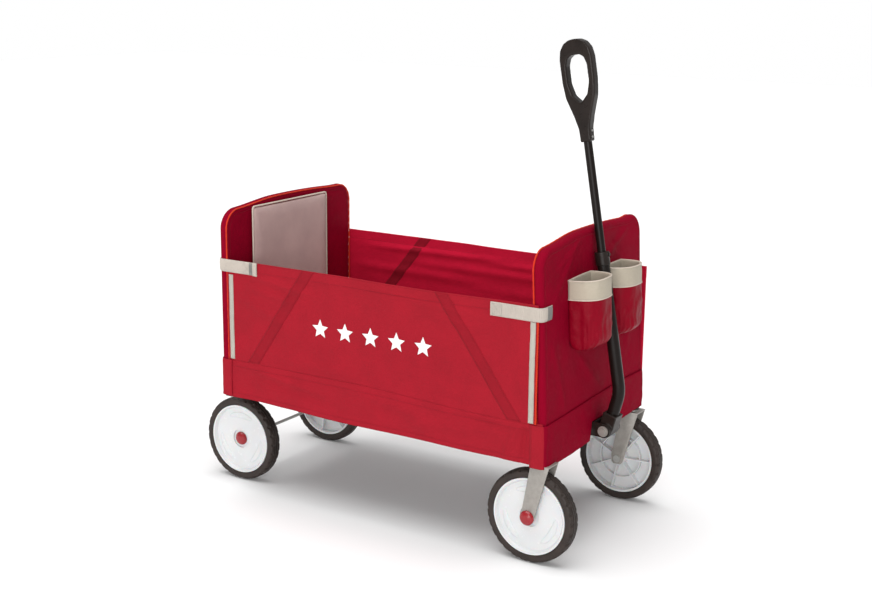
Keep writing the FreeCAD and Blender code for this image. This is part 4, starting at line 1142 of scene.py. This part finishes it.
def puffed(low_corner, high_corner, corner):
    """Points, faces and thin axis of a pad in this box: a rounded block blown up a little as cloth.

    No point moves further than PAD_CAP."""
    low_corner, high_corner = Vector(low_corner), Vector(high_corner)
    work = bmesh.new()
    bmesh.ops.create_cube(work, size=1)
    size, middle = high_corner - low_corner, (high_corner + low_corner) / 2
    for vertex in work.verts:
        vertex.co = Vector([middle[a] + vertex.co[a] * (size[a] - 2 * PAD_SHRINK) for a in range(3)])
    thin = min(range(3), key=lambda axis: size[axis])
    upright = [edge for edge in work.edges
               if abs((edge.verts[0].co - edge.verts[1].co)[thin]) > size[thin] / 2]
    bmesh.ops.bevel(work, geom=upright, offset=corner, segments=6, profile=0.5, affect="EDGES")
    mesh = bpy.data.meshes.new("pad_work")
    work.to_mesh(mesh)
    work.free()
    pad = new_object("pad_work", mesh)
    add_voxels(pad, PAD_VOXEL)
    dense = applied_mesh(pad)
    pad.data = dense
    before = np.array([tuple(vertex.co) for vertex in dense.vertices])
    cloth = pad.modifiers.new("stuffing", "CLOTH")
    cloth.settings.quality = 5
    cloth.settings.use_pressure = True
    cloth.settings.uniform_pressure_force = 4
    cloth.settings.effector_weights.gravity = 0
    cloth.point_cache.frame_start, cloth.point_cache.frame_end = 1, PAD_FRAMES
    for frame_number in range(1, PAD_FRAMES + 1):
        bpy.context.scene.frame_set(frame_number)
    blown = applied_mesh(pad)
    after = np.array([tuple(vertex.co) for vertex in blown.vertices])
    move = after - before
    length = np.linalg.norm(move, axis=1, keepdims=True)
    before = before + move * np.minimum(1.0, PAD_CAP / np.maximum(length, 1e-9))
    bpy.context.scene.frame_set(1)
    faces = [tuple(face.vertices) for face in dense.polygons]
    bpy.data.objects.remove(pad)
    return before, faces, thin


def refine(obj):
    """One round of subdivision."""
    modifier = obj.modifiers.new("refine", "SUBSURF")
    modifier.levels = modifier.render_levels = 1
    obj.data = applied_mesh(obj)
    obj.data.shade_smooth()


def rim_welt(name, corner_low, corner_high, corner, thin, body, tilt=None):
    """A rolled bead round the pad's middle seam."""
    axes = [axis for axis in range(3) if axis != thin]
    tuck = 2.2 * MM
    a0, a1 = corner_low[axes[0]] + tuck, corner_high[axes[0]] - tuck
    b0, b1 = corner_low[axes[1]] + tuck, corner_high[axes[1]] - tuck
    level = corner_low[thin] * 0.4 + corner_high[thin] * 0.6
    ring = []
    for ca, cb, start in ((a1 - corner, b1 - corner, 0), (a0 + corner, b1 - corner, 90),
                          (a0 + corner, b0 + corner, 180), (a1 - corner, b0 + corner, 270)):
        for turn in np.radians(np.linspace(start, start + 90, 10)):
            point = [0, 0, 0]
            point[axes[0]], point[axes[1]] = ca + corner * math.cos(turn), cb + corner * math.sin(turn)
            point[thin] = level
            ring.append(Vector(point))
    ring.append(ring[0])
    ring = resampled(ring, 4 * MM)[0][:-1]
    if tilt:
        ring = [tilt(point) for point in ring]
    sweep(name, ring, 2.3 * MM, body, "welt", closed=True, ripple=0.05)


def pad_grooves(points, thin, face_level, spots):
    """Press quilted channels into the broad faces at these x."""
    for spot in spots:
        well = GROOVE_DEPTH * np.exp(-(((points[:, 0] - spot) / GROOVE_HALF) ** 2))
        upper = points[:, thin] > face_level
        points[:, thin] += np.where(upper, -well, well)
    return points


def make_pad(node, body, corner, spots=(), tilt=None, box=None, cloth="pad_fabric"):
    """The stuffed pad and its welt that stand in for a CAD pad, with quilted channels at these x."""
    corner_low, corner_high = box or (low(node), high(node))
    points, faces, thin = puffed(corner_low, corner_high, corner)
    middle = (corner_low[thin] + corner_high[thin]) / 2
    points = pad_grooves(points, thin, middle, spots)
    if tilt:
        points = [tilt(Vector(point)) for point in points]
    pad = add_piece(node + "_stuffed", points, faces, body, cloth)
    refine(pad)
    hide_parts(node)
    rim_welt(node + "_welt", corner_low, corner_high, corner, thin, body, tilt)


def lean_with_front(point):
    """From the pad's own upright box (x out from the panel's middle plane) to the leaning front end."""
    return FRONT.foot + FRONT.up * (point.z - PANEL_FOOT) + FRONT.out * point.x + Vector((0, point.y, 0))


PAD_SHIFT = Vector((0, -14 * MM, 0))
PAD_TRIM = Vector((4 * MM, 0, 0))
REAR_PAD_BOX = (low("rear_pad") + PAD_SHIFT, high("rear_pad") + PAD_SHIFT - PAD_TRIM)
make_pad("rear_pad", "rear_end", 7 * MM, box=REAR_PAD_BOX)
BACK_PAD_THICK = high("rear_pad").x - low("rear_pad").x
FRONT_PAD_BOX = (Vector((-END_HALF_THICK - BACK_PAD_THICK, low("front_pad").y, low("rear_pad").z)),
                 Vector((-END_HALF_THICK - 0.2 * MM, high("front_pad").y, high("rear_pad").z)))
make_pad("front_pad", "front_end", 7 * MM, tilt=lean_with_front, box=FRONT_PAD_BOX)
for node, body in (("rear_floor_seat_pad", "rear_floor"), ("front_floor_seat_pad", "front_floor")):
    x_low, x_high = low(node).x, high(node).x
    make_pad(node, body, 9 * MM, [x_low + (x_high - x_low) * part for part in (0.25, 0.5, 0.75)],
             cloth="seat_fabric")


# ---------------------------------------------------------------- pull strap on the floor

def pull_strap():
    """Ribbed webbing that lies on the floor's seam with a low hump to grip it by."""
    corner_low, corner_high = low("floor_pull_strap"), high("floor_pull_strap")
    length = corner_high.x - corner_low.x
    half = (corner_high.y - corner_low.y) / 2

    def place(up, along):
        across = 2 * up - 1
        hump = 7 * MM * math.sin(math.pi * min(1, max(0, (along - 0.16) / 0.68))) ** 2
        rib = 0.3 * MM * math.sin(2 * math.pi * along * length / STRAP_RIB) * (1 - across ** 6)
        return (corner_low.x + length * along, half * across,
                corner_high.z + hump + rib - 0.6 * MM * across ** 4)
    grid = point_grid(10, round(length / (0.8 * MM)), place)
    strap = make_sheet("pull_strap_webbing", grid, 1.9 * MM, "front_floor", "webbing", flip=True)
    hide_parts("floor_pull_strap")
    edges = [[Vector((corner_low.x + x, y, corner_high.z + 0.35 * MM)) for x in (4 * MM, 20 * MM)]
             for y in (-half + 4 * MM, half - 4 * MM)]
    add_stitches("pull_strap_stitches", edges, Vector((0, 0, 1)), "front_floor", "pale_thread")


pull_strap()


# ---------------------------------------------------------------- wheels

NOTCHES, NOTCH_STEPS = 28, 8
TYRE_DEEP = 19.2 * MM
NOTCH_DEEP = 2.3 * MM


def tyre(node, body):
    """Solid tyre: three grooves round a crowned tread and a row of notches in each shoulder."""
    corner_low, corner_high = low(node), high(node)
    middle = (corner_low + corner_high) / 2
    outer, half = (corner_high.z - corner_low.z) / 2, (corner_high.y - corner_low.y) / 2
    # The shoulder from the rim to the tread: distance inside the outer radius, share of the half width.
    shoulder_steps = [(TYRE_DEEP, 0.72), (TYRE_DEEP - 1.5 * MM, 0.93), (TYRE_DEEP - 5 * MM, 1.0),
                      (8 * MM, 1.0), (5.4 * MM, 0.985), (3.2 * MM, 0.92), (1.7 * MM, 0.80),
                      (0.9 * MM, 0.66)]
    profile = [(outer - inside, -half * share) for inside, share in shoulder_steps]
    for groove in (-0.44, 0.0, 0.44):
        for step, depth in ((-0.085, 0.0), (-0.06, 1.6), (0.06, 1.6), (0.085, 0.0)):
            crown = 0.35 * MM * abs(groove + step) / 0.5
            profile.append((outer - crown - depth * MM, half * (groove + step)))
    profile += [(radius, -across) for radius, across in reversed(profile[:len(shoulder_steps)])]
    segments = NOTCHES * NOTCH_STEPS
    points = []
    for segment in range(segments):
        turn = 2 * math.pi * segment / segments
        deep = 1.0 if segment % NOTCH_STEPS in (0, 1) else 0.0
        for radius, across in profile:
            shoulder = smooth_step((abs(across) / half - 0.52) / 0.12)
            shoulder *= smooth_step((radius - outer + 5 * MM) / (2 * MM))
            cut = NOTCH_DEEP * deep * shoulder
            points.append((middle.x + (radius - cut) * math.cos(turn),
                           middle.y + across - math.copysign(0.7 * cut, across),
                           middle.z + (radius - cut) * math.sin(turn)))
    faces = tube_faces(segments, len(profile), closed=True)
    skin = add_piece(node + "_skin", points, faces, body, "tyre")
    skin.data.set_sharp_from_angle(angle=math.radians(42))
    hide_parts(node)


CRESCENTS = 3
CRESCENT_RADIUS = 62 * MM
CRESCENT_WIDE = 7.5 * MM
CRESCENT_SPAN = 34


def hub_dish(radius):
    """How far the hub's outer face stands out from the wheel's middle plane at this radius."""
    return 12 * MM - 3 * MM * (radius - 30 * MM) / (49.8 * MM)


def hub_marks(node, tyre_node, body, outward):
    """Three low crescents moulded on the hub's outer face."""
    middle = (low(tyre_node) + high(tyre_node)) / 2
    for number in range(CRESCENTS):
        points, rows, columns = [], 28, 8
        for layer in (1, 0):
            for row in range(rows + 1):
                share = 2 * row / rows - 1
                turn = math.radians(90 + 360 / CRESCENTS * number + CRESCENT_SPAN * share)
                wide = CRESCENT_WIDE * math.sqrt(max(0.0, 1 - share ** 2)) + 0.3 * MM
                for column in range(columns + 1):
                    across = 2 * column / columns - 1
                    radius = CRESCENT_RADIUS + across * wide + 2.5 * MM * share ** 2
                    swell = 1.1 * MM * max(0.0, 1 - across ** 4) * math.sqrt(max(0.0, 1 - share ** 6))
                    height = hub_dish(radius) + (swell if layer else -0.5 * MM)
                    points.append((middle.x + radius * math.cos(turn), middle.y + outward * height,
                                   middle.z + radius * math.sin(turn)))
        faces = shell_faces(rows + 1, columns + 1)
        add_piece(f"{node}_crescent_{number}", points, faces, body, "rim_plastic")


for place in ("rear", "front"):
    for side in (LEFT, RIGHT):
        corner_name = f"{place}_{SIDE_LABEL[side]}"
        tyre(corner_name + "_tyre", corner_name + "_wheel")
        hub_marks(corner_name + "_hub", corner_name + "_tyre", corner_name + "_wheel", side)


# ---------------------------------------------------------------- moulded and pressed parts, edges softened

def copy_of(node):
    """The CAD node's mesh in place, as a new object not yet tied to a body."""
    source = frame["nodes"][node]
    mesh = source.data.copy()
    mesh.transform(source.matrix_world)
    return new_object(node + "_finished", mesh)


def finish_copy(obj, node, body):
    """Apply the copy's modifiers, and let it stand in for its CAD node."""
    mesh = applied_mesh(obj)
    obj.data = mesh
    mesh.shade_smooth()
    mesh.materials.clear()
    mesh.materials.append(MATERIALS[NODE_SLOT[node]])
    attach(obj, body)
    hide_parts(node)


def moulded(node, body, voxel, smooth):
    """A moulding with melted edges: refilled with voxels, then smoothed."""
    obj = copy_of(node)
    add_voxels(obj, voxel)
    soften = obj.modifiers.new("soften", "SMOOTH")
    soften.factor, soften.iterations = 0.5, smooth
    finish_copy(obj, node, body)


def pressed(node, body, width):
    """Bent or turned metal with small rounded edges."""
    obj = copy_of(node)
    weld = obj.modifiers.new("weld", "WELD")
    weld.merge_threshold = 0.01 * MM
    flatten = obj.modifiers.new("flatten", "DECIMATE")
    flatten.decimate_type = "DISSOLVE"
    flatten.angle_limit = math.radians(1.5)
    bevel = obj.modifiers.new("edges", "BEVEL")
    bevel.width, bevel.segments = width, 2
    bevel.limit_method, bevel.angle_limit = "ANGLE", math.radians(32)
    finish_copy(obj, node, body)
    obj.data.set_sharp_from_angle(angle=math.radians(50))


moulded("handle_grip", "handle_upper", 1.7 * MM, 22)
moulded("handle_knuckle", "handle_lower", 1.2 * MM, 8)
moulded("handle_collar", "handle_lower", 0.8 * MM, 6)
for label in ("left", "right"):
    pressed(f"caster_{label}_fork", f"{label}_caster", 0.9 * MM)
pressed("handle_bracket", "front_end", 0.7 * MM)


# ---------------------------------------------------------------- plain printed mark and panel patch

STAR_STEP, STARS = 72 * MM, 5
STAR_Z, STAR_MIDDLE_X = 455 * MM, 15 * MM
STAR_OUTER, STAR_INNER = 24 * MM, 11 * MM


def printed_star(number):
    """A five-pointed star printed on the flap, following its cloth."""
    centre_x = STAR_MIDDLE_X + (number - (STARS - 1) / 2) * STAR_STEP
    corners = []
    for corner in range(10):
        turn = math.pi / 2 + math.pi * corner / 5
        radius = STAR_OUTER if corner % 2 == 0 else STAR_INNER
        corners.append(Vector((radius * math.cos(turn), radius * math.sin(turn))))
    rings, points = 6, []
    outline = [first.lerp(second, s / 4) for first, second in zip(corners, corners[1:] + corners[:1])
               for s in range(4)]
    for proud in (0.35 * MM, -0.3 * MM):
        for ring in range(1, rings + 1):
            points += [near_face(centre_x + a * ring / rings, STAR_Z + b * ring / rings, proud)
                       for a, b in outline]
        points.append(near_face(centre_x, STAR_Z, proud))
    count, faces = len(outline), []
    offset = rings * count + 1
    for start in (0, offset):
        faces += grid_faces(rings, count, start, closed=True)
        faces += [(start + s, start + (s + 1) % count, start + rings * count) for s in range(count)]
    rim = (rings - 1) * count
    faces += [(rim + s, rim + (s + 1) % count, rim + offset + (s + 1) % count, rim + offset + s)
              for s in range(count)]
    star = add_piece(f"printed_star_{number}", points, faces, "side_flap", "print")
    squashed(star)


for number in range(STARS):
    printed_star(number)

# Corners of the patch sewn on the front panel: y, height above the panel's foot.
PATCH = ((0.150, 0.205), (0.222, 0.205), (0.222, 0.150), (0.150, 0.150))
patch_path = [FRONT.at(y, up, END_HALF_THICK + 0.4 * MM) for y, up in PATCH + PATCH[:1]]
add_stitches("panel_patch_stitches", [patch_path], FRONT.out, "front_end", proud=0.7 * MM)


# ---------------------------------------------------------------- floor, light and camera

def add_floor():
    reach = 14.0
    mesh = bpy.data.meshes.new("studio_floor")
    mesh.from_pydata([(-reach, -reach, 0), (reach, -reach, 0), (reach, reach, 0), (-reach, reach, 0)], [],
                     [(0, 1, 2, 3)])
    n = Nodes("pale_floor")
    n.colour(n.noise(0.9, 2), (0.3, (0.885,) * 3), (0.7, (0.9,) * 3))
    n.set(Roughness=0.75, Specular_IOR_Level=0.15)
    mesh.materials.append(n.material)
    new_object("studio_floor", mesh)


def add_sun(name, towards, strength, spread):
    """Light from one direction, as soft as a window that spans spread degrees."""
    light = bpy.data.lights.new(name, "SUN")
    light.energy, light.angle = strength, math.radians(spread)
    obj = new_object(name, light)
    obj.rotation_mode = "QUATERNION"
    obj.rotation_quaternion = Vector(towards).to_track_quat("Z", "Y")


def add_world():
    """White all round: it lights the wagon at half strength, and the camera sees it at full strength."""
    world = bpy.data.worlds.new("studio_white")
    bpy.context.scene.world = world
    world.use_nodes = True
    tree = world.node_tree
    lighting, seen = tree.nodes["Background"], tree.nodes.new("ShaderNodeBackground")
    for background, strength in ((lighting, 0.5), (seen, 1.0)):
        background.inputs["Color"].default_value = (1, 1, 1, 1)
        background.inputs["Strength"].default_value = strength
    path, mix = tree.nodes.new("ShaderNodeLightPath"), tree.nodes.new("ShaderNodeMixShader")
    tree.links.new(path.outputs["Is Camera Ray"], mix.inputs[0])
    tree.links.new(lighting.outputs[0], mix.inputs[1])
    tree.links.new(seen.outputs[0], mix.inputs[2])
    tree.links.new(mix.outputs[0], tree.nodes["World Output"].inputs["Surface"])


# The camera that was fitted to the photo, with its angles in degrees.
CAMERA_PLACE = Vector((1.78544, -2.78238, 1.27194))
CAMERA_AZIMUTH, CAMERA_ELEVATION, CAMERA_ROLL = 32.233, 13.246, 0.58
CAMERA_LENS = 57.14


def add_camera():
    azimuth, elevation = math.radians(CAMERA_AZIMUTH), math.radians(CAMERA_ELEVATION)
    right = Vector((math.cos(azimuth), math.sin(azimuth), 0))
    up = Vector((-math.sin(azimuth) * math.sin(elevation), math.cos(azimuth) * math.sin(elevation),
                 math.cos(elevation)))
    back = right.cross(up)
    roll = math.radians(CAMERA_ROLL)
    right, up = right * math.cos(roll) + up * math.sin(roll), up * math.cos(roll) - right * math.sin(roll)
    data = bpy.data.cameras.new("photo_angle")
    data.lens, data.sensor_width = CAMERA_LENS, 36
    camera = new_object("photo_angle", data)
    camera.matrix_world = Matrix((right, up, back)).transposed().to_4x4()
    camera.location = CAMERA_PLACE
    bpy.context.scene.camera = camera


add_floor()
add_world()
add_sun("key", (-0.06, -0.08, 0.99), 2.3, 60)
add_sun("side_fill", (0.32, -0.94, 0.14), 2.1, 40)
add_camera()
bpy.context.scene.view_settings.view_transform = "Standard"
